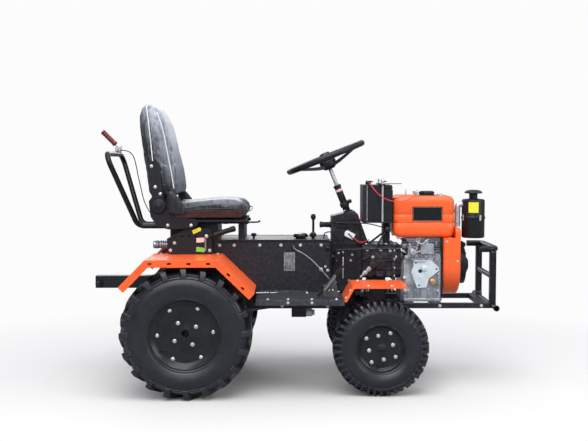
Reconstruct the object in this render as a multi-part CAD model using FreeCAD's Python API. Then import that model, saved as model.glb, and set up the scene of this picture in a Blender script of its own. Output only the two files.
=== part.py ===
import FreeCAD, Part
import math
import os
from FreeCAD import Placement, Rotation, Vector

# Compact two-axle tractor: an air-cooled engine sits ahead of a gearbox on two long rails, the driver sits
# over the rear axle. Millimetres. +X is forward, +Y is the driver's left, +Z is up. The origin is on the
# ground, midway along the machine.

# ---------------------------------------------------------------- driving dimensions
# lengths along the machine, from the hitch to the front guard; what the others leave is the rear overhang
overall_length = 1976.0
wheelbase = 900.0
engine_setback = 119.0       # front axle to the engine's rear face
engine_length = 203.0
shroud_depth = 85.0
recoil_depth = 58.0
guard_clearance = 28.0       # recoil starter to the guard's side bars
guard_wing = 80.0            # how far the guard's top bar runs back from its front
guard_bar_r = 15.0

rear_tyre_od = 610.0
rear_tyre_width = 165.0
rear_track = 781.0
rear_rim_r = 152.0           # bead seat
rear_lugs = 20               # pairs of half lugs
rear_lug_height = 24.0

front_tyre_od = 450.0
front_tyre_width = 118.0
front_track = 676.0
front_rim_r = 101.0
front_lugs = 21
front_lug_height = 15.0
lug_share = (0.34, 0.40, 0.44)       # of the pitch: at the middle, halfway out and at the shoulder
lug_sweep = (0.0, 0.42, 0.62)        # how far the lug trails there, in pitches
bead_phase = 0.63            # where the bead's corners lie between two lugs, in pitches
shoulder_inset = 10.0                # tread shoulder to the tyre's side
shoulder_drop = 7.0                  # how much lower a lug is at the shoulder
side_drop = 30.0                     # from the tread's floor down to the widest part of the side

rim_wall = 4.0
rim_flange = 13.0            # how far the flange stands out from the bead seat
rim_inset = 14.0             # rim flange inboard of the tyre's face
flange_depth = 8.0           # the flange slopes out over this width
wheel_disc = 8.0             # thickness of the wheel's centre disc
rear_disc_recess = 10.0
front_disc_recess = 22.0
running_gap = 0.1            # radial clearance of shafts and pins
free_gap = 5.0               # clearance between pieces that move past each other

axle_shaft_r = 18.0
axle_shaft_entry = 60.0      # how far the wheel's shaft goes into the axle housing
axle_tube_r = 32.0
axle_flange_r = 48.0
axle_flange_thick = 16.0
wheel_flange_r = 62.0
axle_case_r = 88.0
axle_case_half = 72.0
axle_case_bevel = 24.0
axle_pad_half = 30.0
spindle_r = 12.5
hub_shell_r = 32.0
hub_shell_back = 34.0        # hub's inner end, inboard of the wheel's middle
kingpin_r = 12.0
kingpin_boss_r = 24.0
kingpin_inset = 88.0         # inboard of the tyre's middle
kingpin_boss_low = 262.0
kingpin_boss_height = 72.0
axle_beam_half = 22.0
axle_beam_height = 35.0
steer_arm = 110.0            # kingpin to tie rod, straight back
steer_arm_thick = 10.0
steer_pin_r = 6.0
tie_rod_r = 8.0
rod_eye_half = 13.0
pitman_setback = 60.0        # behind the front axle
pitman_y = 95.0
pitman_shaft_r = 12.0
pitman_half = 10.0           # half width of steering arms

rail_y = 170.0               # centre of each rail
rail_width = 30.0
rail_height = 24.0
rail_top = 406.0
rail_tail = 200.0            # behind the rear axle
cross_width = 40.0

hitch_width = 50.0
hitch_low = 461.0
hitch_height = 60.0
hitch_pin_r = 10.0
hitch_pin_length = 160.0
hitch_pin_inset = 20.0       # pin ahead of the beam's end
hitch_boss_r = 18.0
hitch_boss_out = 14.0

guard_post = 30.0            # square section
guard_post_inset = 33.0      # post's centre behind the guard's front
guard_height = 667.0         # top bar's centre
guard_bend_r = 40.0
guard_mid_z = 534.0
guard_mid_r = 13.0
crossbar_r = 12.0
crossbar_half = 271.0

box_ahead = 129.0            # rear axle to the body box
box_gap = 12.0               # body box to the steering pillar
box_half_width = 150.0
box_low = 465.0
box_height = 245.0
box_plate = 4.0              # thickness of the bolted side plates
box_rim = 12.0               # side plates end this far below the top
filler_place = (401.0, -60.0)        # ahead of the box's rear, and across
filler_r = 32.0
filler_height = 26.0

board_outer_y = 430.0
board_top = 457.0
board_thick = 4.0
board_lip = 25.0
board_rear = 320.0           # ahead of the rear axle
board_front = 175.0          # behind the front axle
board_taper = 120.0          # length of the slanted inboard corner at the rear
board_corner = 90.0          # width of that corner
board_ribs = (50.0, 345.0)   # supports, ahead of the board's rear
rib_thick = 6.0

fender_gap = 31.0            # plate above the tyre
fender_thick = 4.0
rear_fender_skirt = 34.0
front_fender_skirt = 12.0
rear_fender_flat = (-179.0, 155.0)      # ahead of the axle centre
rear_fender_rear = (-300.0, -124.0)     # rear end: from the axle centre, and from the flat top
rear_fender_front = (315.0, -155.0)
rear_fender_outer_y = 470.0
skirt_slot = (17.0, 9.0)
skirt_slot_first = -156.0    # first of the slots on the flat, from the axle centre
skirt_slot_pitch = 88.0

front_fender_flat = (-135.0, 112.0)
front_fender_rear = (-175.0, -70.0)
front_fender_gap = 66.0
front_fender_outer_y = 420.0
front_fender_legs = (-120.0, -66.0)  # gussets, from the axle centre
fender_leg_out = 50.0        # reach of a gusset under the plate

pedestal_tail = 100.0        # behind the rear axle
pedestal_high = 788.0
pedestal_wall = 6.0
slide_height = 14.0
slide_y = (110.0, 140.0)
pan_thick = 10.0
pan_inset = 14.0
seat_front = 288.0           # ahead of the rear axle
cushion_high = 905.0
cushion_round = 45.0
cushion_nose = (28.0, 18.0)          # rounding of the front edge, above and below
cushion_dip = 22.0
seat_half_width = 226.0
back_half_width = 213.0
back_top = 1372.0
back_low = 912.0
back_round = 60.0
back_rear = ((-50.0, 0.0), (-46.0, 0.113), (-70.0, 0.504), (-95.0, 0.935), (-77.0, 1.0))
back_front = ((-20.0, 1.0), (8.0, 0.930), (59.0, 0.617), (95.0, 0.280), (110.0, 0.0))
                             # side outline: distance ahead of the hinge, and share of the height
side_pad = (20.0, 85.0, 122.0)       # thickness, length, height
side_pad_drop = 75.0         # below the cushion's top
hinge_tail = 145.0           # behind the rear axle
hinge_z = 877.0
hinge_r = 30.0
hinge_boss = 15.0
bracket_thick = 5.0
bracket_half = 25.0          # half length at the hinge
bracket_tip_half = 18.0
bracket_lean = 14.0          # tip behind the hinge
bracket_top = 1085.0

handle_tube_r = 13.0
handle_low_half = 70.0
handle_top_half = 230.0
handle_top = (393.0, 1125.0)         # behind the rear axle, and up
handle_knee = (268.0, 773.0)
handle_bend_r = 45.0
grip_r = 14.0
grip_length = 95.0
grip_y = 120.0
grip_stem_r = 6.0
grip_stem = 39.0
grip_foot = 14.0

quadrant_outline = ((-105.0, 0.0), (-111.0, 75.0), (-7.0, 130.0), (101.0, 119.0), (108.0, 0.0))
                             # from the rear axle, and above the fender
quadrant_y = 194.0
quadrant_thick = 6.0
notch_size = (14.0, 6.0)
notch_first = (-72.0, 74.0)
notch_pitch = 34.0
notch_rise = 14.0
notch_turn = 14.0            # degrees from each notch to the next
notch_count = 5

gear_stick = (-76.0, 92.0)           # from the box's front, and height
throttle_stick = (-79.0, 9.0)
choke_stick = (171.0, 14.0)          # ahead of the box's rear, and height
stick_r = 6.0
lift_pivot = (80.0, 88.0)            # ahead of the rear axle, and above the fender
lift_stub = 16.0             # how far the lift lever stands off the quadrant
lift_reach = (136.0, 39.0)   # from the pivot to the grip's end
lift_grip_r = 12.0
shift_pivot = (38.0, -85.0)  # ahead of the gearbox's rear, and across
shift_reach = (82.0, -15.0, 77.0)
shift_stem_r = 5.0
pedal_arm = (125.0, 16.0)    # foot behind the board's front, and width
pedal_arm_top = (141.0, 149.0)       # heights of the tip's two corners above the board
pedal_arm_y = 300.0
pedal_y = (308.0, 372.0)
pedal_toe = (40.0, 105.0)    # behind the board's front, and above the board
pedal_heel = (92.0, 38.0)
pedal_foot = 20.0
pedal_thick = 4.0
pedal_holes = ((60.0, 63.0), (66.0, 33.0), (44.0, 33.0))

wheel_place = (245.0, 1108.0)        # steering wheel's centre: behind the front axle, and up
wheel_rim_r = 192.0          # centre of the rim's section
wheel_grip_r = 15.0
wheel_dish = 50.0            # how far the spokes drop to the hub
spoke_half = 16.0
spoke_thick = 8.0
column_tilt = 22.0           # degrees back from vertical
wheel_hub_r = 42.0
wheel_cap_r = 28.0
shaft_r = 10.0
column_r = 17.0
column_start = 148.0         # distances down the steering axis from the wheel's centre
column_end = 300.0
shaft_entry = 30.0           # how far the shaft goes into the column
collar_r = 23.0
collar_height = 26.0

pillar_setback = 218.0       # pillar's rear face behind the front axle
pillar_half_width = 60.0
pillar_foot_z = 465.0
cowl_height = 166.0
cowl_front_height = 12.0
cowl_rear_height = 140.0

gearbox_setback = 68.0       # gearbox's rear face behind the front axle
gearbox_half_width = 110.0
gearbox_low = 520.0
gearbox_high = 680.0
gearbox_round = 18.0
gearbox_leg = (-40.0, 50.0)  # from the front axle
gearbox_leg_half = 50.0
gearbox_ribs = (564.0, 606.0)
rib_depth = 7.0
bell_flange = (17.0, 27.0)   # thickness, and distance behind the engine
bell_flange_out = 10.0

engine_half_width = 115.0
crank_z = 576.0
crankcase_high = 640.0
barrel_half_width = 84.0
fin_out = 16.0
fin_thick = 3.0
fin_count = 6
shroud_low = 430.0
shroud_high = 768.0
recoil_r = 95.0
recoil_hub_r = 34.0
recoil_ribs = 12

tank_tail = 37.0             # tank's rear behind the engine's
tank_nose = 57.0
tank_half_width = 130.0
tank_gap = 39.0              # gearbox to the tank
tank_height = 202.0
tank_round = 28.0
tank_bevel = 9.0
tank_groove = 2.5            # depth
groove_half = 1.5
tank_grooves = (71.0, 113.0)         # above the tank's bottom
tank_cap_place = (171.0, -30.0)      # ahead of the tank's rear, and across
tank_cap_r = 34.0
tank_cap_height = 22.0

stay_outline = ((60.0, 32.0), (145.0, 32.0), (181.0, -1.0), (184.0, -19.0), (136.0, -56.0), (124.0, -100.0),
                (78.0, -104.0), (48.0, -25.0), (60.0, 5.0))
                             # stay plate: ahead of the engine's rear, and from the crank's height
stay_thick = 10.0
stay_slot = (92.0, -20.0, 12.0)      # the same way, and radius
drain_place = (154.0, -73.0)
fuel_union_y = -92.0
lead_reach = 240.0           # battery's rear to the union where its lead ends

cleaner_gap = 72.0           # fan shroud to the air cleaner's middle
cleaner_y = -60.0
cleaner_r = 56.0
cleaner_low = 714.0
cleaner_high = 904.0
cleaner_seam = 812.0
cleaner_neck_r = 20.0
rain_cap_r = 44.0
intake_r = 14.0
muffler_r = 40.0
muffler_drop = 59.0          # muffler's axis below the tank
muffler_gap = 20.0

battery_setback = 169.0      # battery's rear behind the engine's
battery_length = 128.0
battery_y = (-112.0, 68.0)
battery_low = 799.0
battery_height = 174.0
tray_thick = 9.0
tray_lip = 6.0
tray_back = 18.0
clamp_r = 4.0
clamp_out = 10.0

shaft_drop_rear = 330.0      # height of the drive shaft's rear end
shaft_rise_front = 440.0
drive_shaft_r = 16.0
joint_r = 28.0
joint_length = 30.0
pinion_nose = 100.0

cable_r = 2.5

# ---------------------------------------------------------------- derived places
half_length = overall_length / 2
rear_overhang = (overall_length - wheelbase - engine_setback - engine_length - shroud_depth - recoil_depth
                 - guard_clearance - guard_wing - guard_bar_r)
rear_axle_x = rear_overhang - half_length
front_axle_x = rear_axle_x + wheelbase
rear_r = rear_tyre_od / 2
front_r = front_tyre_od / 2
rail_low = rail_top - rail_height
rail_in = rail_y - rail_width / 2
rail_out = rail_y + rail_width / 2
rail_rear_x = rear_axle_x - rail_tail
guard_front_x = half_length - guard_bar_r
guard_post_x = half_length - guard_post_inset
hitch_high = hitch_low + hitch_height
pillar_rear_x = front_axle_x - pillar_setback
box_rear_x = rear_axle_x + box_ahead
box_front_x = pillar_rear_x - box_gap
box_high = box_low + box_height
board_rear_x = rear_axle_x + board_rear
board_front_x = front_axle_x - board_front
rear_fender_top = rear_tyre_od + fender_gap + fender_thick
front_fender_top = front_tyre_od + front_fender_gap + fender_thick
pedestal_rear_x = rear_axle_x - pedestal_tail
pan_low = pedestal_high + slide_height
pan_high = pan_low + pan_thick
seat_front_x = rear_axle_x + seat_front
hinge_x = rear_axle_x - hinge_tail
kingpin_y = front_track / 2 - kingpin_inset
boss_high = kingpin_boss_low + kingpin_boss_height
arm_low = boss_high + free_gap
arm_high = arm_low + steer_arm_thick
rod_z = arm_high + free_gap + 1 + tie_rod_r
rod_x = front_axle_x - steer_arm
pitman_x = front_axle_x - pitman_setback
pitman_end_x = pitman_x - steer_arm
gearbox_rear_x = front_axle_x - gearbox_setback
engine_rear_x = front_axle_x + engine_setback
engine_front_x = engine_rear_x + engine_length
shroud_front_x = engine_front_x + shroud_depth
tank_rear_x = engine_rear_x - tank_tail
tank_front_x = engine_front_x + tank_nose
tank_low = gearbox_high + tank_gap
tank_high = tank_low + tank_height
muffler_z = tank_low - muffler_drop
cleaner_x = shroud_front_x + cleaner_gap
battery_rear_x = engine_rear_x - battery_setback
battery_front_x = battery_rear_x + battery_length
battery_high = battery_low + battery_height
sides = {"right": -1, "left": 1}


# ---------------------------------------------------------------- shape helpers
def save(name, *solids):
    shape = solids[0] if len(solids) == 1 else Part.makeCompound(list(solids))
    shape.exportStep(os.path.join("parts", name + ".step"))


def block(x, y, z):
    """Box between (low, high) pairs."""
    x, y, z = sorted(x), sorted(y), sorted(z)
    return Part.makeBox(x[1] - x[0], y[1] - y[0], z[1] - z[0], Vector(x[0], y[0], z[0]))


def centred(x, y, z, half):
    """Square block of half width about x and y, between two z values."""
    return block((x - half, x + half), (y - half, y + half), z)


def rod(start, end, radius):
    """Truly round bar, for fits."""
    start, end = Vector(*start), Vector(*end)
    return Part.makeCylinder(radius, (end - start).Length, start, end - start)


def prism(outline, shift):
    """Flat outline of points, drawn out along a vector."""
    points = [Vector(*p) for p in outline]
    return Part.Face(Part.makePolygon(points + points[:1])).extrude(Vector(*shift))


def plate(outline, y):
    """Prism across the machine: an (x, z) outline between two y values."""
    y = sorted(y)
    return prism([(px, y[0], pz) for px, pz in outline], (0, y[1] - y[0], 0))


def slab(outline, z):
    """Prism upwards: an (x, y) outline between two z values."""
    return prism([(px, py, z[0]) for px, py in outline], (0, 0, z[1] - z[0]))


def solid_of(points, triangles):
    """Solid with flat faces, its coplanar triangles joined."""
    shell = Part.Shape()
    shell.makeShapeFromMesh((points, triangles), 0.01)
    solid = Part.Solid(shell).removeSplitter()
    if solid.Volume < 0:
        solid.reverse()
    return solid


def tube_of(points, count):
    """Solid through rings of points, so many in each, closed at both ends."""
    triangles = []
    top = len(points) - count
    for ring in range(0, top, count):
        for i in range(count):
            a, b = ring + i, ring + (i + 1) % count
            triangles += [(a, a + count, b), (b, a + count, b + count)]
    for i in range(1, count - 1):
        triangles += [(0, i, i + 1), (top, top + i + 1, top + i)]
    return solid_of(points, triangles)


def faceted(profile, count, base=(0, 0, 0), axis=(0, 1, 0)):
    """Round form with flat sides: (radius, height) points, with height along axis from base."""
    points = []
    turn = 2 * math.pi / count
    for radius, height in profile:
        points += [Vector(radius * math.sin(i * turn), height, -radius * math.cos(i * turn))
                   for i in range(count)]
    solid = tube_of(points, count)
    solid.Placement = Placement(Vector(*base), Rotation(Vector(0, 1, 0), Vector(*axis)))
    return solid


def pole(start, end, radius, count=8):
    """Round bar with flat sides."""
    start, end = Vector(*start), Vector(*end)
    return faceted([(radius, 0), (radius, (end - start).Length)], count, start, end - start)


def fuse(first, *others):
    return first.multiFuse(list(others)).removeSplitter()


def bent_path(points, radii):
    """Straight runs joined by tangent arcs, one radius for each inner point."""
    points = [Vector(*p) for p in points]
    edges, start = [], points[0]
    for before, corner, after, radius in zip(points, points[1:], points[2:], radii):
        back = (before - corner).normalize()
        ahead = (after - corner).normalize()
        half_turn = (math.pi - back.getAngle(ahead)) / 2
        trim = radius * math.tan(half_turn)
        inward = (back + ahead).normalize()
        middle = corner + inward * (radius / math.cos(half_turn) - radius)
        edges.append(Part.LineSegment(start, corner + back * trim).toShape())
        edges.append(Part.Arc(corner + back * trim, middle, corner + ahead * trim).toShape())
        start = corner + ahead * trim
    edges.append(Part.LineSegment(start, points[-1]).toShape())
    return Part.Wire(edges)


def loft_along(path, radius, sides, steps):
    """Flat-sided bar along a path of lines and arcs in turn, its section carried without twist."""
    stations = []
    for i, edge in enumerate(path.Edges):
        curved = i % 2 == 1
        first, last = edge.FirstParameter, edge.LastParameter
        marks = range(steps + 1) if curved else ([0] if i == 0 else [])
        for k in marks:
            at = first + (last - first) * k / steps
            stations.append((edge.valueAt(at), edge.tangentAt(at)))
    last_edge = path.Edges[-1]
    end = last_edge.LastParameter
    stations.append((last_edge.valueAt(end), last_edge.tangentAt(end)))
    across = stations[0][1].cross(Vector(0.3, 0.2, 0.9)).normalize()
    points = []
    for centre, heading in stations:
        across = (across - heading * across.dot(heading)).normalize()
        other = heading.cross(across)
        points += [centre + across * (radius * math.cos(2 * math.pi * k / sides))
                   + other * (radius * math.sin(2 * math.pi * k / sides)) for k in range(sides)]
    return tube_of(points, sides)


def bar(points, radius, bend, sides=12, steps=3):
    """Bar with straight runs and equal bends."""
    return loft_along(bent_path(points, [bend] * (len(points) - 2)), radius, sides, steps)


def cable(name, points):
    """Free cable: each bend is as large as its two runs allow."""
    route = [Vector(*p) for p in points]
    radii = []
    for before, corner, after in zip(route, route[1:], route[2:]):
        turn = (corner - before).getAngle(after - corner)
        shorter = min((corner - before).Length, (after - corner).Length)
        radii.append(0.45 * shorter / math.tan(turn / 2))
    path = bent_path(points, radii)
    sides = 6
    tube = loft_along(path, cable_r, sides, 1)
    section = sides / 2 * cable_r ** 2 * math.sin(2 * math.pi / sides)
    print(name, "radii", [round(r) for r in radii], "length", round(path.Length), "of volume",
          round(tube.Volume / (section * path.Length), 3))
    save(name, tube)


def bevelled(shape, size, chosen):
    """Chamfer the edges that a test on each edge picks."""
    return shape.makeChamfer(size, [e for e in shape.Edges if chosen(e)])


def runs_along(axis):
    def test(edge):
        line = edge.Vertexes[-1].Point - edge.Vertexes[0].Point
        return line.Length > 0 and abs(line.normalize().dot(Vector(*axis))) > 0.99
    return test


# ---------------------------------------------------------------- wheels
def tyre(outer_d, width, bead_r, pairs, lug_height):
    """Tyre with chevron lugs about the Y axis at the origin, its tread midplane at y = 0.

    Every face is a flat triangle, worked out for one pitch of the tread and repeated round the wheel. The two
    halves of the tread are half a pitch apart.
    """
    tip, half = outer_d / 2, width / 2
    floor, pitch = tip - lug_height, 2 * math.pi / pairs
    bead_y = half - rim_inset - flange_depth
    shoulder = half - shoulder_inset
    stations = [(0.0, tip, floor), (shoulder * 0.5, tip - 1, floor),
                (shoulder, tip - shoulder_drop, floor - 5)]
    side_r, collar_r = floor - side_drop, bead_r + rim_flange
    points, triangles, index = [], [], {}

    def vertex(radius, angle, y):
        turn = round(angle / pitch, 6) % pairs
        key = (round(radius, 4), turn, round(y, 4))
        if key not in index:
            index[key] = len(points)
            angle = turn * pitch - math.pi / 2
            points.append(Vector(radius * math.cos(angle), y, radius * math.sin(angle)))
        return index[key]

    def strip(near, far, side):
        """Triangles between two rows of vertices that run the same way round the wheel."""
        i = j = 0
        while i < len(near) - 1 or j < len(far) - 1:
            even_step = i * (len(far) - 1) <= j * (len(near) - 1)
            if j == len(far) - 1 or (i < len(near) - 1 and even_step):
                face = (near[i], near[i + 1], far[j])
                i += 1
            else:
                face = (near[i], far[j + 1], far[j])
                j += 1
            triangles.append(face if side > 0 else face[::-1])

    for side in (1, -1):
        for n in range(pairs):
            start = (n + (0 if side > 0 else 0.5)) * pitch
            tops, floors, gaps = [], [], []
            for (y, high, low), share, sweep in zip(stations, lug_share, lug_sweep):
                lead = start - sweep * pitch
                trail = lead + share * pitch
                tops.append([vertex(high, lead, side * y), vertex(high, trail, side * y)])
                floors.append([vertex(low, lead, side * y), vertex(low, trail, side * y)])
                gap = [vertex(low, trail, side * y)]
                if y == 0:
                    other = [start + pitch / 2, start + pitch / 2 + share * pitch]
                    gap += [vertex(low, at, 0) for at in other]
                gaps.append(gap + [vertex(low, lead + pitch, side * y)])
            lead = start - lug_sweep[-1] * pitch
            trail = lead + lug_share[-1] * pitch
            foot = [vertex(side_r, lead, side * half), vertex(side_r, trail, side * half)]
            gap_foot = [foot[1], vertex(side_r, lead + pitch, side * half)]
            for k in range(2):
                strip(tops[k], tops[k + 1], side)
                strip(gaps[k], gaps[k + 1], side)
                strip([floors[k][0], tops[k][0]], [floors[k + 1][0], tops[k + 1][0]], side)
                strip([tops[k][1], floors[k][1]], [tops[k + 1][1], floors[k + 1][1]], side)
            strip(floors[0], tops[0], side)
            strip(tops[2], foot, side)
            strip(gaps[2], gap_foot, side)
            triangles.append((floors[2][0], tops[2][0], foot[0]) if side > 0
                             else (tops[2][0], floors[2][0], foot[0]))
            triangles.append((tops[2][1], floors[2][1], foot[1]) if side > 0
                             else (floors[2][1], tops[2][1], foot[1]))
            ring = [foot[0], foot[1], gap_foot[1]]
            even = [(n + k - 1 + bead_phase) * pitch for k in range(2)]
            for radius, y in ((collar_r, bead_y + flange_depth), (bead_r, bead_y)):
                following = [vertex(radius, at, side * y) for at in even]
                strip(ring, following, side)
                ring = following
            if side > 0:
                strip(ring, [vertex(bead_r, at, -bead_y) for at in even], side)
    return solid_of(points, triangles)


def rim(side, bead_r, width, pairs, recess, hub):
    """Wheel rim about the Y axis at the origin, with as many flats as its tyre has lugs.

    Its disc is towards the given side, and hub makes its middle.
    """
    half = width / 2 - rim_inset
    face = half - recess
    flange, wall = bead_r + rim_flange, bead_r - rim_wall
    seat = half - flange_depth
    outside = faceted([(flange, -half), (bead_r, -seat), (bead_r, seat), (flange, half)], pairs)
    back = faceted([(wall, -half - 1), (wall, face - wheel_disc)], pairs)
    front = faceted([(wall, face), (wall, half + 1)], pairs)
    disc = outside.cut(back).cut(front)
    disc.rotate(Vector(0, 0, 0), Vector(0, 1, 0), -360 * bead_phase / pairs)
    body = hub(disc, face)
    return body if side > 0 else body.mirror(Vector(0, 0, 0), Vector(0, 1, 0))


def rear_hub(disc, face):
    """A flange behind the disc and a solid shaft into the axle housing."""
    housing_end = rear_axle_end() - rear_track / 2
    shaft = rod((0, housing_end - axle_shaft_entry, 0), (0, face - wheel_disc, 0), axle_shaft_r)
    flange = pole((0, housing_end + axle_flange_thick - 2, 0), (0, face - wheel_disc, 0), wheel_flange_r, 12)
    return fuse(disc, shaft, flange)


def front_hub(disc, face):
    """A bored hub that turns on the spindle."""
    hub = pole((0, -hub_shell_back, 0), (0, face + 3, 0), hub_shell_r)
    bore = rod((0, -hub_shell_back - 1, 0), (0, face + 4, 0), spindle_r + running_gap)
    return fuse(disc, hub).cut(bore)


def rear_axle_end():
    """Outer end of the axle housing, distance from the centre plane."""
    return rear_track / 2 - rear_tyre_width / 2 - free_gap - 3


def wheels():
    for name, side in sides.items():
        rear_place = Vector(rear_axle_x, side * rear_track / 2, rear_r)
        front_place = Vector(front_axle_x, side * front_track / 2, front_r)
        rear_tyre = tyre(rear_tyre_od, rear_tyre_width, rear_rim_r, rear_lugs, rear_lug_height)
        front_tyre = tyre(front_tyre_od, front_tyre_width, front_rim_r, front_lugs, front_lug_height)
        rear_rim = rim(side, rear_rim_r, rear_tyre_width, rear_lugs, rear_disc_recess, rear_hub)
        front_rim = rim(side, front_rim_r, front_tyre_width, front_lugs, front_disc_recess, front_hub)
        made = {"rear_tyre_": (rear_tyre, rear_place), "front_tyre_": (front_tyre, front_place),
                "rear_rim_": (rear_rim, rear_place), "front_rim_": (front_rim, front_place)}
        for node, (shape, place) in made.items():
            shape.translate(place)
            save(node + name, shape)


# ---------------------------------------------------------------- axles and steering
def rear_axle():
    x, z, end = rear_axle_x, rear_r, rear_axle_end()
    bevel = axle_case_bevel
    case = faceted([(axle_case_r - bevel, -axle_case_half), (axle_case_r, bevel - axle_case_half),
                    (axle_case_r, axle_case_half - bevel), (axle_case_r - bevel, axle_case_half)],
                   12, (x, 0, z))
    pieces = [pole((x, -end, z), (x, end, z), axle_tube_r)]
    pieces.append(pole((x, 0, shaft_drop_rear), (x + pinion_nose, 0, shaft_drop_rear), joint_r + 10, 10))
    for side in (-1, 1):
        pieces.append(pole((x, side * (end - axle_flange_thick), z), (x, side * end, z), axle_flange_r))
        pieces.append(block((x - axle_pad_half, x + axle_pad_half), (side * rail_in, side * rail_out),
                            (z, rail_low)))
    housing = fuse(case, *pieces)
    for side in (-1, 1):
        bore_end = end - axle_shaft_entry - 2
        housing = housing.cut(rod((x, side * bore_end, z), (x, side * (end + 1), z),
                                  axle_shaft_r + running_gap))
    save("rear_axle", housing)


def drive_shaft():
    rear_x = rear_axle_x + pinion_nose
    front_x = front_axle_x + gearbox_leg[0]
    rear, front = (rear_x, 0, shaft_drop_rear), (front_x, 0, shaft_rise_front)
    mid = joint_length / 2
    save("drive_shaft", fuse(
        pole(rear, (rear_x + joint_length, 0, shaft_drop_rear), joint_r, 8),
        pole((front_x - joint_length, 0, shaft_rise_front), front, joint_r, 8),
        pole((rear_x + mid, 0, shaft_drop_rear), (front_x - mid, 0, shaft_rise_front), drive_shaft_r, 8),
    ))


def front_axle():
    x = front_axle_x
    beam_high = boss_high - 3
    along = (x - axle_beam_half, x + axle_beam_half)
    beam = block(along, (-kingpin_y, kingpin_y), (beam_high - axle_beam_height, beam_high))
    saddle_low = rail_low - rail_height
    saddle = prism([(along[0], y, z) for y, z in ((-90, beam_high), (90, beam_high), (45, saddle_low),
                                                   (-45, saddle_low))], (2 * axle_beam_half, 0, 0))
    bosses, bores = [], []
    for side in (-1, 1):
        y = side * kingpin_y
        bosses.append(pole((x, y, kingpin_boss_low), (x, y, boss_high), kingpin_boss_r))
        bores.append(rod((x, y, kingpin_boss_low - 1), (x, y, boss_high + 1), kingpin_r + running_gap))
    axle = fuse(beam, saddle, *bosses)
    for bore in bores:
        axle = axle.cut(bore)
    save("front_axle", axle)


def knuckles():
    x, z = front_axle_x, front_r
    face = front_track / 2 + front_tyre_width / 2 - rim_inset - front_disc_recess
    collar_end = front_track / 2 - hub_shell_back - 2
    for name, side in sides.items():
        y = side * kingpin_y
        post = centred(x, y, (z - 25, kingpin_boss_low - free_gap), 20)
        kingpin = rod((x, y, z), (x, y, arm_high), kingpin_r)
        spindle = rod((x, y, z), (x, side * (face + 12), z), spindle_r)
        collar = pole((x, y, z), (x, side * collar_end, z), spindle_r + 7, 8)
        cap = faceted([(17, face + 4), (17, face + 14), (12, face + 18)], 8, (x, 0, z), (0, side, 0))
        arm = block((rod_x - 12, x + 20), (y - pitman_half, y + pitman_half), (arm_low, arm_high))
        pin = rod((rod_x, y, arm_low), (rod_x, y, rod_z + tie_rod_r + 3), steer_pin_r)
        save("knuckle_" + name, fuse(post, kingpin, spindle, collar, cap, arm, pin))


def tie_rod():
    low, high = rod_z - tie_rod_r, rod_z + tie_rod_r
    places = ((rod_x, -kingpin_y), (rod_x, kingpin_y), (pitman_end_x, pitman_y))
    eyes = [centred(x, y, (low, high), rod_eye_half) for x, y in places]
    reach = kingpin_y - rod_eye_half
    link = pole((rod_x, -reach, rod_z), (rod_x, reach, rod_z), tie_rod_r, 8)
    lug_half = pitman_half - 1
    lug = block((pitman_end_x, rod_x), (pitman_y - lug_half, pitman_y + lug_half), (low, low + 10))
    shape = fuse(link, lug, *eyes)
    for x, y in places:
        shape = shape.cut(rod((x, y, low - 1), (x, y, high + 1), steer_pin_r + running_gap))
    save("tie_rod", shape)


def pitman_arm():
    x, y = pitman_x, pitman_y
    save("pitman_arm", fuse(
        rod((x, y, arm_low), (x, y, pillar_foot_z - 20), pitman_shaft_r),
        block((pitman_end_x - 12, x + 18), (y - pitman_half, y + pitman_half), (arm_low, arm_high)),
        rod((pitman_end_x, y, arm_low), (pitman_end_x, y, rod_z + tie_rod_r + 3), steer_pin_r),
    ))


def steering_axis():
    """Unit vector up the steering axis."""
    tilt = math.radians(column_tilt)
    return (-math.sin(tilt), 0, math.cos(tilt))


def on_steering_axis(distance):
    """Point at a distance down the steering axis from the wheel's centre."""
    up = steering_axis()
    return (front_axle_x - wheel_place[0] - distance * up[0], 0, wheel_place[1] - distance * up[2])


def steering():
    r, g = wheel_rim_r, wheel_grip_r
    side = g * math.cos(math.radians(30))
    outer = [(r, -g), (r + side, -g / 2), (r + side, g / 2), (r, g)]
    inner = [(r, -g), (r - side, -g / 2), (r - side, g / 2), (r, g)]
    ring = faceted(outer, 28, axis=(0, 0, 1)).cut(faceted(inner, 28, axis=(0, 0, 1)))
    hub = faceted([(wheel_hub_r * 0.6, -wheel_dish - 12), (wheel_hub_r, -wheel_dish + 4), (wheel_hub_r, -8),
                   (wheel_cap_r, 2), (wheel_cap_r, g + 5), (wheel_cap_r * 0.7, g + 11)], 10, axis=(0, 0, 1))
    low = -wheel_dish
    root = wheel_hub_r - 8
    spoke = plate([(root, low), (r - g, -spoke_thick), (r, -spoke_thick / 2), (r, spoke_thick / 2),
                   (r - g, spoke_thick / 2), (root, low + 2 * spoke_thick)], (-spoke_half, spoke_half))
    spokes = []
    for k in range(3):
        turned = spoke.copy()
        turned.rotate(Vector(0, 0, 0), Vector(0, 0, 1), 90 + 120 * k)
        spokes.append(turned)
    wheel = fuse(ring, hub, *spokes)
    up = steering_axis()
    wheel.Placement = Placement(Vector(*on_steering_axis(0)), Rotation(Vector(0, 0, 1), Vector(*up)))
    save("steering_wheel", wheel)
    shaft_end = column_start + shaft_entry
    save("steering_shaft", rod(on_steering_axis(wheel_dish + 12), on_steering_axis(shaft_end), shaft_r))


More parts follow.
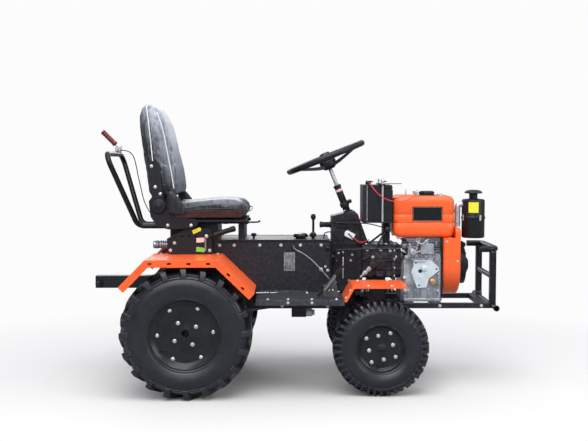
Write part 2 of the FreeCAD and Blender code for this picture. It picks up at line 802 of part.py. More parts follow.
def steering_pillar():
    """Column in a sheet cowl, a leg down to the frame and the steering box beneath."""
    front_x, base_z = gearbox_rear_x - 20, gearbox_high
    cowl = plate([(pillar_rear_x, base_z), (front_x + 46, base_z), (front_x + 50, base_z + cowl_front_height),
                  (front_x, base_z + cowl_height - 16), (front_x - 18, base_z + cowl_height),
                  (pillar_rear_x, base_z + cowl_rear_height)], (-pillar_half_width, pillar_half_width))
    leg = block((pillar_rear_x + 6, front_x), (8 - pillar_half_width, pillar_half_width - 8),
                (pillar_foot_z, gearbox_high))
    base = block((pillar_rear_x + 6, front_x + 8), (6 - rail_out, rail_out - 6),
                 (pillar_foot_z, pillar_foot_z + 8))
    feet = [block((board_front_x + 10, front_x - 20), (side * rail_in, side * (rail_out - 6)),
                  (rail_top, pillar_foot_z)) for side in (-1, 1)]
    gear_case = centred(pitman_x - 2, pitman_y, (rail_low + 12, pillar_foot_z), 32)
    column = pole(on_steering_axis(column_start), on_steering_axis(column_end), column_r, 12)
    collar = faceted([(column_r + 1, 0), (collar_r, 3), (collar_r, collar_height - 3),
                      (column_r + 1, collar_height)], 12, on_steering_axis(column_end - 36), steering_axis())
    shaft_end = column_start + shaft_entry
    socket = rod(on_steering_axis(column_start - 1), on_steering_axis(shaft_end + 2), shaft_r + running_gap)
    pillar = fuse(cowl, column, collar, leg, base, gear_case, *feet)
    bore = rod((pitman_x, pitman_y, rail_low), (pitman_x, pitman_y, pillar_foot_z - 18),
               pitman_shaft_r + running_gap)
    save("steering_pillar", pillar.cut(socket).cut(bore))


# ---------------------------------------------------------------- chassis
def frame():
    """Two box rails, the members between and on them, each standing on its own welds."""
    rail_front_x = guard_post_x - guard_post / 2
    members = []
    for name, side in sides.items():
        under = board_top - board_thick
        save("frame_rail_" + name, block((rail_rear_x, rail_front_x), (side * rail_in, side * rail_out),
                                         (rail_low, rail_top)))
        for x in (box_rear_x + 70, box_front_x - 80):
            foot = [(x - axle_pad_half, side * y, z) for y, z in (
                (60, rail_low), (rail_in, rail_low), (rail_in, rail_top), (box_half_width, under),
                (box_half_width, box_low), (60, box_low))]
            members.append(prism(foot, (2 * axle_pad_half, 0, 0)))
        for ahead in board_ribs:
            x, tip = board_rear_x + ahead, side * (board_outer_y - 10)
            members.append(prism([(x, side * rail_in, rail_top), (x, side * rail_in, under), (x, tip, under),
                                  (x, tip, board_top - board_lip), (x, side * rail_out, rail_top)],
                                 (rib_thick, 0, 0)))
        under = front_fender_top - fender_thick
        for ahead in front_fender_legs:
            x = front_axle_x + ahead
            members.append(prism([(x, side * y, z) for y, z in (
                (rail_out - rib_thick, rail_top), (rail_out, rail_top), (rail_out + fender_leg_out, under),
                (rail_out - rib_thick, under))], (rib_thick, 0, 0)))
    half = cross_width / 2
    for x in (rail_rear_x + half, engine_rear_x + 2 * half, engine_front_x - half - 10, rail_front_x - half):
        members.append(block((x - half, x + half), (-rail_in, rail_in), (rail_low, rail_top)))
    axle_half = axle_beam_half + 6
    members.append(block((front_axle_x - axle_half, front_axle_x + axle_half), (-rail_out, rail_out),
                         (rail_low - rail_height, rail_low)))
    shelf = block((pitman_x - 40, front_axle_x - axle_half - 1), (pitman_y - 35, rail_in),
                  (rail_low, rail_low + 12))
    members.append(shelf.cut(rod((pitman_x, pitman_y, rail_low - 1), (pitman_x, pitman_y, rail_low + 13),
                                 pitman_shaft_r + running_gap)))
    save("frame_crossmembers", *members)


def hitch():
    x = -half_length + hitch_pin_inset
    z = (hitch_low + hitch_high) / 2 - 5
    half = hitch_width / 2
    beam = block((-half_length, box_rear_x), (-half, half), (hitch_low, hitch_high))
    riser = block((rail_rear_x, rail_rear_x + cross_width), (-half, half), (rail_top, hitch_low))
    boss = pole((x, -half - hitch_boss_out, z), (x, half + hitch_boss_out, z), hitch_boss_r)
    pin = rod((x, -hitch_pin_length / 2, z), (x, hitch_pin_length / 2, z), hitch_pin_r)
    save("hitch_beam", fuse(beam, riser, boss, pin))


def guard():
    """Front guard: two posts, a top hoop, a middle bar and the round crossbar under the posts."""
    back = guard_front_x - guard_wing
    top = guard_height
    pieces = [bar([(back, -rail_y, top), (guard_front_x, -rail_y, top), (guard_front_x, rail_y, top),
                   (back, rail_y, top)], guard_bar_r, guard_bend_r, 8, 3)]
    half = guard_post / 2
    for side in (-1, 1):
        pieces.append(centred(guard_post_x, side * rail_y, (rail_low, top), half))
    x, low = guard_post_x, (rail_low + rail_top) / 2
    pieces.append(pole((x, -rail_y, guard_mid_z), (x, rail_y, guard_mid_z), guard_mid_r))
    pieces.append(rod((x, -crossbar_half, low), (x, crossbar_half, low), crossbar_r))
    save("front_guard", fuse(pieces[0], *pieces[1:]))


def body_box():
    """Closed sheet box with bolted side plates, a top lip and a filler."""
    inner = box_half_width - box_plate
    tank = block((box_rear_x, box_front_x), (-inner, inner), (box_low, box_high))
    plates = [block((box_rear_x, box_front_x), (side * inner, side * box_half_width),
                    (box_low, box_high - box_rim)) for side in (-1, 1)]
    x, y = box_rear_x + filler_place[0], filler_place[1]
    neck = pole((x, y, box_high), (x, y, box_high + filler_height - 10), filler_r - 8)
    cap = faceted([(filler_r, 8), (filler_r, filler_height - 5), (filler_r - 8, filler_height)], 12,
                  (x, y, box_high), (0, 0, 1))
    save("body_box", fuse(tank, *plates, neck, cap))


def footboards():
    for name, side in sides.items():
        inner, outer = side * box_half_width, side * board_outer_y
        outline = [(board_rear_x + board_taper, inner), (board_front_x, inner), (board_front_x, outer),
                   (board_rear_x, outer), (board_rear_x, side * (box_half_width + board_corner))]
        top = slab(outline, (board_top - board_thick, board_top))
        lip = block((board_rear_x, board_front_x), (outer - side * board_thick, outer),
                    (board_top - board_lip, board_top))
        save("footboard_" + name, fuse(top, lip))


def bent_fender(side, points, inner_y, outer_y, depth, slots):
    """Bent plate with a slotted skirt along its outer edge; points run from the rear end to the front end."""
    def offset(distance):
        """The same bends, moved towards the wheel by a distance measured square to the plate."""
        lines = []
        for (x0, z0), (x1, z1) in zip(points, points[1:]):
            length = math.hypot(x1 - x0, z1 - z0)
            nx, nz = (z1 - z0) / length, -(x1 - x0) / length
            lines.append(((x0 + nx * distance, z0 + nz * distance), (x1 + nx * distance, z1 + nz * distance)))
        moved = [lines[0][0]]
        for (p, q), (r, s) in zip(lines, lines[1:]):
            d1, d2 = (q[0] - p[0], q[1] - p[1]), (s[0] - r[0], s[1] - r[1])
            t = ((r[0] - p[0]) * d2[1] - (r[1] - p[1]) * d2[0]) / (d1[0] * d2[1] - d1[1] * d2[0])
            moved.append((p[0] + t * d1[0], p[1] + t * d1[1]))
        moved.append(lines[-1][1])
        return moved

    top = plate(points + offset(fender_thick)[::-1], (side * inner_y, side * outer_y))
    skirt = plate(points + offset(depth)[::-1], (side * (outer_y - fender_thick), side * outer_y))
    guard_plate = fuse(top, skirt)
    length, height = skirt_slot
    for x, z, slope in slots:
        slot = block((-length / 2, length / 2), (side * (outer_y - fender_thick - 1), side * (outer_y + 1)),
                     (-height / 2, height / 2))
        slot.rotate(Vector(0, 0, 0), Vector(0, 1, 0), slope)
        slot.translate(Vector(x, 0, z))
        guard_plate = guard_plate.cut(slot)
    return guard_plate


def fenders():
    for name, side in sides.items():
        x, top = rear_axle_x, rear_fender_top
        points = [(x + rear_fender_rear[0], top + rear_fender_rear[1]), (x + rear_fender_flat[0], top),
                  (x + rear_fender_flat[1], top), (x + rear_fender_front[0], top + rear_fender_front[1])]
        slots = [(x + skirt_slot_first + k * skirt_slot_pitch, top - rear_fender_skirt / 2, 0) for k in range(4)]
        run, fall = rear_fender_front[0] - rear_fender_flat[1], -rear_fender_front[1]
        length = math.hypot(run, fall)
        for share in (0.35, 0.75):
            slots.append((points[2][0] + run * share - fall / length * rear_fender_skirt / 2,
                          top - fall * share - run / length * rear_fender_skirt / 2,
                          math.degrees(math.atan2(fall, run))))
        save("rear_fender_" + name,
             bent_fender(side, points, box_half_width, rear_fender_outer_y, rear_fender_skirt, slots))
        x, top = front_axle_x, front_fender_top
        points = [(x + front_fender_rear[0], top + front_fender_rear[1]), (x + front_fender_flat[0], top),
                  (x + front_fender_flat[1], top)]
        save("front_fender_" + name,
             bent_fender(side, points, rail_out, front_fender_outer_y, front_fender_skirt, []))


# ---------------------------------------------------------------- seat and controls
def pedestal():
    """Folded sheet box, open underneath, that carries the seat's slides."""
    half, wall = box_half_width, pedestal_wall
    walls = block((pedestal_rear_x, box_rear_x), (-half, half), (hitch_high, pedestal_high))
    room = block((pedestal_rear_x + wall, box_rear_x - wall), (wall - half, half - wall),
                 (hitch_high - 1, pedestal_high - wall))
    save("seat_pedestal", walls.cut(room))


def seat():
    pan_half = seat_half_width - pan_inset
    pieces = [block((hinge_x - 10, seat_front_x - 20), (-pan_half, pan_half), (pan_low, pan_high))]
    for side in (-1, 1):
        pieces.append(block((hinge_x + 20, seat_front_x - 10), (side * slide_y[0], side * slide_y[1]),
                            (pedestal_high, pan_low)))
        arm_in = side * (back_half_width + 1)
        arm_out = arm_in + side * bracket_thick
        tip_x = hinge_x - bracket_lean
        arm = [(hinge_x - bracket_half, pan_low), (hinge_x + bracket_half, pan_low),
               (hinge_x + bracket_half, hinge_z), (tip_x + bracket_tip_half, bracket_top),
               (tip_x - bracket_tip_half, bracket_top), (hinge_x - bracket_half, hinge_z)]
        pieces.append(plate(arm, (arm_in, arm_out)))
        pieces.append(block((hinge_x - 10, hinge_x + bracket_half), (side * slide_y[1], arm_out),
                            (pan_low, pan_high)))
        pieces.append(pole((hinge_x, arm_in, hinge_z), (hinge_x, arm_out + side * hinge_boss, hinge_z),
                           hinge_r, 12))
    front_leg = block((seat_front_x - 60, seat_front_x - 30), (-slide_y[1], slide_y[1]),
                      (box_high, pedestal_high))
    save("seat_frame", fuse(pieces[0], *pieces[1:], front_leg))
    rear_x = rear_axle_x - pedestal_tail
    nose, chin = cushion_nose
    outline = [(rear_x, pan_high), (seat_front_x - chin, pan_high), (seat_front_x, pan_high + chin),
               (seat_front_x, cushion_high - cushion_round), (seat_front_x - nose, cushion_high - nose / 2),
               (seat_front_x - 3 * nose, cushion_high), (rear_x + 4 * nose, cushion_high - cushion_dip),
               (rear_x, cushion_high - cushion_dip / 3)]
    cushion = bevelled(plate(outline, (-seat_half_width, seat_half_width)), cushion_round / 2,
                       lambda edge: runs_along((0, 0, 1))(edge) and edge.Length > cushion_round / 2)
    thick, length, height = side_pad
    low = cushion_high - side_pad_drop
    pads = [block((rear_x, rear_x + length), (side * seat_half_width, side * (seat_half_width + thick)),
                  (low, low + height)) for side in (-1, 1)]
    save("seat_cushion", cushion)
    save("seat_bolsters", *pads)
    height = back_top - back_low
    side_view = plate([(hinge_x + ahead, back_low + share * height) for ahead, share in back_rear + back_front],
                      (-back_half_width, back_half_width))
    r, w = back_round, back_half_width
    half_view = [(w, back_low), (w, back_top - 1.6 * r), (w - 0.3 * r, back_top - 0.5 * r), (w - r, back_top)]
    front_view = half_view + [(-y, z) for y, z in half_view[::-1]]
    start_x = hinge_x + 2 * back_rear[3][0]
    depth = 2 * (back_front[-1][0] - back_rear[3][0])
    save("seat_back", side_view.common(prism([(start_x, y, z) for y, z in front_view], (depth, 0, 0))))


def rear_handle():
    top_x, top_z = rear_axle_x - handle_top[0], handle_top[1]
    knee_x, knee_z = rear_axle_x - handle_knee[0], handle_knee[1]
    route = [(pedestal_rear_x, -handle_low_half, knee_z), (knee_x, -handle_low_half, knee_z),
             (top_x, -handle_top_half, top_z), (top_x, handle_top_half, top_z),
             (knee_x, handle_low_half, knee_z), (pedestal_rear_x, handle_low_half, knee_z)]
    hoop = bar(route, handle_tube_r, handle_bend_r, 10, 2)
    save("rear_handle", hoop)
    foot_z = top_z + handle_tube_r
    stem_top = foot_z + grip_stem
    lean = Vector(-1, 0, 1).normalize()
    grip_base = Vector(top_x - 12, grip_y, stem_top - 4)
    grip = faceted([(grip_r - 5, 0), (grip_r, 8), (grip_r - 2, grip_length / 2), (grip_r, grip_length - 14),
                    (grip_r - 6, grip_length)], 10, grip_base, lean)
    save("handle_grip", fuse(
        block((top_x - 12, top_x + 12), (grip_y - grip_foot, grip_y + grip_foot),
              (top_z, foot_z + grip_foot)).cut(hoop),
        pole((top_x, grip_y, foot_z + 8), (top_x - 16, grip_y, stem_top), grip_stem_r, 8),
        grip,
    ))


def lift_quadrant():
    """Slotted plate that stands on the right fender beside the pedestal."""
    x, z = rear_axle_x, rear_fender_top
    outer = quadrant_y + quadrant_thick
    quadrant = plate([(x + ahead, z + up) for ahead, up in quadrant_outline], (-outer, -quadrant_y))
    notch_half, half_high = notch_size[0] / 2, notch_size[1] / 2
    for k in range(notch_count):
        notch = block((-notch_half, notch_half), (-outer - 1, 1 - quadrant_y), (-half_high, half_high))
        notch.rotate(Vector(0, 0, 0), Vector(0, 1, 0), (k - (notch_count - 1) / 2) * notch_turn)
        rise = notch_rise * math.sin(math.pi * (k + 1) / (notch_count + 1))
        notch.translate(Vector(x + notch_first[0] + notch_pitch * k, 0, z + notch_first[1] + rise))
        quadrant = quadrant.cut(notch)
    save("lift_quadrant", quadrant)


def lever(foot, head, stem_r, knob_r, knob_length):
    """Thin stem with a knob round its end."""
    foot, head = Vector(*foot), Vector(*head)
    along = (head - foot).normalize()
    knob = faceted([(knob_r * 0.6, 0), (knob_r, knob_length * 0.3), (knob_r, knob_length * 0.7),
                    (knob_r * 0.6, knob_length)], 8, head - along * 3, along)
    return fuse(pole(foot, head, stem_r, 8), knob)


def levers():
    box_y = filler_place[1]
    sticks = ((box_front_x + gear_stick[0], 0, gear_stick[1], stick_r, 13, 28),
              (box_front_x + throttle_stick[0], box_y, throttle_stick[1], stick_r, 17, 24),
              (box_rear_x + choke_stick[0], box_y, choke_stick[1], stick_r - 1, 14, 16))
    made = [lever((x, y, box_high), (x, y, box_high + height), stem_r, knob_r, knob_length)
            for x, y, height, stem_r, knob_r, knob_length in sticks]
    x, z = rear_axle_x + lift_pivot[0], rear_fender_top + lift_pivot[1]
    outer = -quadrant_y - quadrant_thick
    reach, rise = lift_reach
    grip_from = reach / 4
    made.append(fuse(
        pole((x, outer, z), (x, outer - lift_stub - 2, z), 10, 8),
        pole((x, outer - 10, z), (x + grip_from + stick_r, outer - 12, z + rise / 5), stick_r, 8),
        pole((x + grip_from, outer - 12, z + rise / 6), (x + reach, outer - lift_stub - 2, z + rise),
             lift_grip_r, 10)))
    x, y = gearbox_rear_x + shift_pivot[0], shift_pivot[1]
    knob = (x + shift_reach[0], y + shift_reach[1], gearbox_high + shift_reach[2])
    stub = stick_r + 10
    made.append(fuse(
        pole((x, y, gearbox_high), (x, y, gearbox_high + stub), stick_r + 1, 8),
        pole((x, y, gearbox_high + stub - 4), knob, shift_stem_r, 8),
        faceted([(8, -14), (14, -6), (14, 6), (8, 14)], 8, knob, (0, 0, 1))))
    foot_x, tip_x = board_front_x - pedal_arm[0], stick_r + 1
    low, high = pedal_arm_top
    for side in (-1, 1):
        made.append(plate([(foot_x, board_top), (foot_x + pedal_arm[1], board_top),
                           (board_front_x + tip_x, board_top + low), (board_front_x - tip_x, board_top + high)],
                          (side * pedal_arm_y - stick_r, side * pedal_arm_y + stick_r)))
    save("control_levers", *made)


def pedals():
    """Treadles: a sloped tread on a perforated side plate, on each footboard."""
    made = []
    toe = (board_front_x - pedal_toe[0], board_top + pedal_toe[1])
    heel = (board_front_x - pedal_heel[0], board_top + pedal_heel[1])
    thick = pedal_thick
    for side in (-1, 1):
        near, far = side * pedal_y[0], side * pedal_y[1]
        cheek = plate([toe, heel, (heel[0] + thick, board_top), (board_front_x - pedal_foot, board_top)],
                      (near, near + side * thick))
        for back, up in pedal_holes:
            x, z = board_front_x - back, board_top + up
            cheek = cheek.cut(pole((x, near - side, z), (x, near + side * (thick + 1), z), 6, 6))
        tread = plate([toe, heel, (heel[0] + thick + 1, heel[1] - thick), (toe[0] + thick + 1, toe[1] - thick)],
                      (near, far))
        made.append(fuse(cheek, tread))
    save("foot_pedals", *made)


def cables():
    """Lift release cable from the rear handle, control cable beside the body box, battery lead."""
    x, z = rear_axle_x, pedestal_high
    handle_x = rear_axle_x - handle_top[0]
    cable("handle_cable", [
        (handle_x + 12, 120, 1145), (handle_x + 45, 120, 1145), (handle_x + 71, 146, 1122),
        (x - 312, 170, 1074), (x - 300, 162, 1012), (x - 284, 146, 952), (x - 268, 118, 895),
        (x - 244, 90, z + 62), (x - 212, 62, z + 24), (x - 176, 40, z - 8), (x - 138, 28, z - 34),
        (x - 100, 28, z - 34)])
    x = box_front_x
    side = -box_half_width
    cable("side_cable", [
        (x - 175, side, 672), (x - 175, side - 30, 672), (x - 157, side - 56, 664), (x - 121, side - 62, 646),
        (x - 85, side - 56, 616), (x - 53, side - 44, 582), (x - 26, side - 30, 550),
        (x - 3, side - 14, 522), (x + 16, side + 12, 506), (x + 30, side + 44, 498),
        (x + 38, side + 72, 493), (x + 38, 8 - pillar_half_width, 493)])
    x, z = battery_rear_x, battery_high
    cable("battery_lead", [
        (x + 15, -100, z + 8), (x + 15, -126, z + 8), (x + 22, -146, z - 5), (x + 40, -158, z - 29),
        (x + 66, -160, z - 53), (x + 100, -161, z - 71), (x + 138, -160, z - 79), (x + 172, -160, z - 76),
        (x + 204, -160, z - 65), (x + 226, -154, z - 49), (x + 240, -134, z - 39), (x + 240, -110, z - 39)])


# ---------------------------------------------------------------- power unit
def gearbox():
    """Ribbed casting on the frame, with a bell flange towards the engine."""
    case = block((gearbox_rear_x, engine_rear_x), (-gearbox_half_width, gearbox_half_width),
                 (gearbox_low, gearbox_high))
    case = bevelled(case, gearbox_round, runs_along((1, 0, 0)))
    out = gearbox_half_width + rib_depth
    ribs = [block((gearbox_rear_x, engine_rear_x), (-out, out), (z - 4, z + 4)) for z in gearbox_ribs]
    thick, behind = bell_flange
    edge = gearbox_half_width + bell_flange_out
    flange = block((engine_rear_x - behind - thick, engine_rear_x - behind), (-edge, edge),
                   (gearbox_low - bell_flange_out, gearbox_high))
    leg = block((front_axle_x + gearbox_leg[0], front_axle_x + gearbox_leg[1]),
                (-gearbox_leg_half, gearbox_leg_half), (rail_top, gearbox_low + 20))
    save("gearbox", fuse(case, *ribs, flange, leg))


def engine():
    """Air-cooled single: crankcase with ribs, finned barrel and the stay plate on its near side."""
    rear, front, half = engine_rear_x, engine_front_x, engine_half_width
    case = plate([(rear, rail_top), (front, rail_top), (front, crankcase_high), (rear + 36, crankcase_high),
                  (rear, crankcase_high - 50)], (-half, half))
    case = bevelled(case, 14, lambda edge: runs_along((0, 0, 1))(edge))
    barrel_x = (rear + 46, front - 6)
    pieces = [block(barrel_x, (-barrel_half_width, barrel_half_width), (crankcase_high, tank_low))]
    pitch = (tank_low - crankcase_high - 10) / fin_count
    edge = barrel_half_width + fin_out
    for k in range(fin_count):
        z = crankcase_high + 10 + k * pitch
        pieces.append(block((rear + 34, front - 6), (-edge, edge), (z, z + fin_thick)))
    for side in (-1, 1):
        face = side * half
        for k in range(5):
            x = rear + 34 + k * 32
            pieces.append(block((x, x + 8), (face, face + side * 6), (rail_top + 14, rail_top + 58)))
        pieces.append(block((rear + 14, front - 14), (face, face + side * 9), (rail_top, rail_top + 14)))
        pieces.append(block((rear + 14, rear + 44), (face, face + side * 5), (crank_z - 88, crank_z + 12)))
    stay = plate([(rear + along, crank_z + up) for along, up in stay_outline], (-half - stay_thick, -half))
    along, up, slot_r = stay_slot
    slot = pole((rear + along, -half - stay_thick - 1, crank_z + up),
                (rear + along, -half - 4, crank_z + up), slot_r, 10)
    save("engine_block", fuse(case, *pieces, stay).cut(slot))
    lead_x = battery_rear_x + lead_reach
    drain = faceted([(14, 0), (14, 8), (8, 10), (8, 16), (12, 18), (12, 22)], 8,
                    (rear + drain_place[0], -half, crank_z + drain_place[1]), (0, -1, 0))
    union = fuse(faceted([(9, 0), (9, 10), (14, 12), (14, 24), (8, 30)], 8, (lead_x, fuel_union_y, tank_high),
                         (0, 0, 1)),
                 block((lead_x - 6, lead_x + 6), (fuel_union_y - 18, fuel_union_y),
                       (tank_high + 6, tank_high + 20)))
    stud_x = rear + 27
    stud = pole((stud_x, -70, tank_high), (stud_x, -70, tank_high + 32), 3, 6)
    button = faceted([(12, 0), (12, 10), (8, 14)], 8, (front - 13, -80, tank_high), (0, 0, 1))
    save("engine_fittings", drain, union, stud, button)


def fan_shroud():
    """Fan housing round the crank's axis, and the ribbed recoil starter on its front."""
    radius = crank_z - shroud_low
    outline = [(radius * math.cos(math.radians(a)), crank_z - radius * math.sin(math.radians(a)))
               for a in range(0, 181, 15)]
    outline += [(-radius, shroud_high - 24), (24 - radius, shroud_high), (radius - 24, shroud_high),
                (radius, shroud_high - 24)]
    shroud = prism([(engine_front_x, y, z) for y, z in outline], (shroud_depth, 0, 0))
    shroud = bevelled(shroud, 14, lambda edge: all(abs(v.X - shroud_front_x) < 0.1 for v in edge.Vertexes))
    tank_space = block((engine_front_x - 1, tank_front_x + 2), (-tank_half_width - 20, tank_half_width + 20),
                       (tank_low - 2, shroud_high + 1))
    save("fan_shroud", shroud.cut(tank_space))
    depth = recoil_depth
    pieces = [faceted([(recoil_r, 0), (recoil_r, depth - 24), (recoil_r - 9, depth - 16)], 20,
                      (shroud_front_x, 0, crank_z), (1, 0, 0)),
              faceted([(recoil_hub_r, 0), (recoil_hub_r, depth - 4), (recoil_hub_r - 6, depth)], 12,
                      (shroud_front_x, 0, crank_z), (1, 0, 0))]
    for k in range(recoil_ribs):
        rib = block((shroud_front_x + depth - 20, shroud_front_x + depth - 7), (-3, 3),
                    (recoil_hub_r - 4, recoil_r - 10))
        rib.rotate(Vector(shroud_front_x, 0, 0), Vector(1, 0, 0), 360 / recoil_ribs * k)
        rib.translate(Vector(0, 0, crank_z))
        pieces.append(rib)
    pieces.append(block((shroud_front_x, shroud_front_x + depth - 18), (-20, 20),
                        (crank_z + recoil_r - 12, crank_z + recoil_r + 16)))
    save("recoil_starter", fuse(pieces[0], *pieces[1:]))


def round_corners(x, y, radius, steps=3):
    """Outline of a rectangle between (low, high) pairs, each corner in so many flats."""
    corners = ((x[1], y[1], 0), (x[0], y[1], 90), (x[0], y[0], 180), (x[1], y[0], 270))
    outline = []
    for cx, cy, start in corners:
        px = cx - math.copysign(radius, cx - sum(x) / 2)
        py = cy - math.copysign(radius, cy - sum(y) / 2)
        for k in range(steps + 1):
            turn = math.radians(start + 90 * k / steps)
            outline.append((px + radius * math.cos(turn), py + radius * math.sin(turn)))
    return outline


def fuel_tank():
    half, groove = tank_half_width, tank_groove
    outline = round_corners((tank_rear_x, tank_front_x), (-half, half), tank_round)
    inset = round_corners((tank_rear_x + groove, tank_front_x - groove), (groove - half, half - groove),
                          tank_round - groove)
    tank = slab(outline, (tank_low, tank_high))
    core = slab(inset, (tank_low, tank_high))
    tank = bevelled(tank, tank_bevel, lambda edge: edge.BoundBox.ZLength < 0.1)
    for above in tank_grooves:
        z = (tank_low + above - groove_half, tank_low + above + groove_half)
        tank = tank.cut(slab(outline, z).cut(core))
    save("fuel_tank", tank)
    x, y = tank_rear_x + tank_cap_place[0], tank_cap_place[1]
    save("tank_cap", faceted([(tank_cap_r, 0), (tank_cap_r, tank_cap_height - 5),
                              (tank_cap_r - 7, tank_cap_height)], 16, (x, y, tank_high), (0, 0, 1)))


def muffler():
    """Exhaust box along the far side of the barrel, with its outlet pointing away from the driver."""
    y = engine_half_width + muffler_gap + muffler_r
    rear, front, z = engine_rear_x + 40, engine_front_x - 14, muffler_z
    drum = faceted([(muffler_r - 10, 0), (muffler_r, 8), (muffler_r, front - rear - 8),
                    (muffler_r - 10, front - rear)], 12, (rear, y, z), (1, 0, 0))
    inlet = pole((rear + 70, barrel_half_width + fin_out, z), (rear + 70, y, z), 16, 10)
    outlet = pole((front - 30, y, z), (front - 30, y + 66, z), 14, 10)
    save("muffler", fuse(drum, inlet, outlet))


def air_cleaner():
    x, y, low, high, r = cleaner_x, cleaner_y, cleaner_low, cleaner_high, cleaner_r
    seam, neck, lid = cleaner_seam, cleaner_neck_r, rain_cap_r
    profile = [(r - 7, low), (r, low + 8), (r, seam - 4), (r + 3, seam - 2), (r + 3, seam + 4), (r, seam + 6),
               (r, high - 8), (r - 8, high), (neck, high), (neck, high + 26), (lid, high + 29),
               (lid - 6, high + 46)]
    body = faceted(profile, 12, (x, y, 0), (0, 0, 1))
    pipe_x = (tank_front_x + x - r) / 2
    pipe = bar([(x - r + 6, y, high - 26), (pipe_x, y, high - 26), (pipe_x, y, shroud_high)], intake_r,
               intake_r + 2, 10, 2)
    save("air_cleaner", fuse(body, pipe))


def battery():
    y = battery_y
    case = block((battery_rear_x, battery_front_x), y, (battery_low, battery_high - 22))
    lid = block((battery_rear_x + 3, battery_front_x - 3), (y[0] + 3, y[1] - 3),
                (battery_high - 22, battery_high))
    posts = [centred(battery_rear_x + 15, py, (battery_high, battery_high + 16), 8)
             for py in (y[0] + 20, y[1] - 20)]
    save("battery", fuse(case, lid, *posts))
    back_x = battery_rear_x - tray_back
    near, far = y[0] - tray_lip, y[1] + tray_lip
    tray = block((back_x, battery_front_x), (near, far), (battery_low - tray_thick, battery_low))
    post = block((battery_front_x - 42, battery_front_x - 8), (-60, 20),
                 (gearbox_high, battery_low - tray_thick))
    back = block((back_x, battery_rear_x), (near, far), (battery_low - tray_thick, battery_high))
    clamp_x = (battery_rear_x + battery_front_x) / 2 + 12
    pieces = [post, back]
    for clamp_y in (near - clamp_out, far + clamp_out):
        inward = near + 2 if clamp_y < 0 else far - 2
        pieces.append(block((clamp_x - 9, clamp_x + 9), (clamp_y - 6, inward),
                            (battery_low - tray_thick, battery_low - 3)))
        pieces.append(pole((clamp_x, clamp_y, battery_low - tray_thick), (clamp_x, clamp_y, battery_high + 24),
                           clamp_r, 8))
    pieces.append(block((clamp_x - 8, clamp_x + 8), (near - clamp_out - 8, far + clamp_out + 8),
                        (battery_high, battery_high + 6)))
    save("battery_carrier", fuse(tray, *pieces))


def pump():
    """Gear pump hung under the right rail."""
    low, y = rail_low - 43, -rail_y + 10
    x = front_axle_x - 415
    body = block((x, x + 70), (-rail_out, -rail_in + 30), (low, rail_low))
    body = bevelled(body, 8, lambda edge: runs_along((1, 0, 0))(edge) and edge.BoundBox.ZMin < rail_low - 1)
    save("hydraulic_pump", fuse(body, pole((x + 70, y, low + 20), (x + 101, y, low + 20), 18)))


def main():
    os.makedirs("parts", exist_ok=True)
    for make in (wheels, rear_axle, drive_shaft, front_axle, knuckles, tie_rod, pitman_arm, steering,
                 steering_pillar, frame, hitch, guard, body_box, footboards, fenders, pedestal, seat,
                 rear_handle, lift_quadrant, levers, pedals, cables, gearbox, engine, fan_shroud, fuel_tank,
                 muffler, air_cleaner, battery, pump):
        make()


main()
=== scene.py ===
import math
import random

import bmesh
import bpy
from mathutils import Matrix, Vector


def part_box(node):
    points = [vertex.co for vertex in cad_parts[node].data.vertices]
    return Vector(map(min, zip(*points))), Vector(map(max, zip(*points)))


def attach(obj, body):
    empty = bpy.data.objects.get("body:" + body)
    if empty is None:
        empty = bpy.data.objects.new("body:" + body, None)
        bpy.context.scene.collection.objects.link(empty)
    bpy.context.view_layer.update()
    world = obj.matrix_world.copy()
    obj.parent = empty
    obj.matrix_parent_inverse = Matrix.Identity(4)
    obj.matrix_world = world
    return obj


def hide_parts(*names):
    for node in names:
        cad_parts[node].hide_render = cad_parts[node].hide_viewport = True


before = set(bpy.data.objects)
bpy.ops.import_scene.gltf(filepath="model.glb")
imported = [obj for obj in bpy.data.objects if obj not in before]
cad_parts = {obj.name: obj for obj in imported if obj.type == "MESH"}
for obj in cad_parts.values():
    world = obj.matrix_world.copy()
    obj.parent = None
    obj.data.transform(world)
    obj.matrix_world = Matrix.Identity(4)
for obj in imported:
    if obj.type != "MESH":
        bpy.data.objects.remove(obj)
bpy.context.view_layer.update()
MM = 0.001
BOTH = (-1, 1)  # right side, left side
FORE, AFT, LEFT, RIGHT, HIGH = (1, 0, 0), (-1, 0, 0), (0, 1, 0), (0, -1, 0), (0, 0, 1)
random.seed(7)


def span(node):
    """Lowest and highest corner of a CAD node, in millimetres."""
    low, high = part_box(node)
    return low / MM, high / MM


def linked(name, data):
    """New object in the scene."""
    made = bpy.data.objects.new(name, data)
    bpy.context.collection.objects.link(made)
    return made


# ---------------- camera
camera = linked("camera", bpy.data.cameras.new("camera"))
camera.data.sensor_width = 36.0
camera.data.lens = 58.8
camera.location = (-0.032, -4.773, 1.095)
camera.rotation_euler = (math.radians(90 - 3.6), 0, math.radians(-0.36))
bpy.context.scene.camera = camera


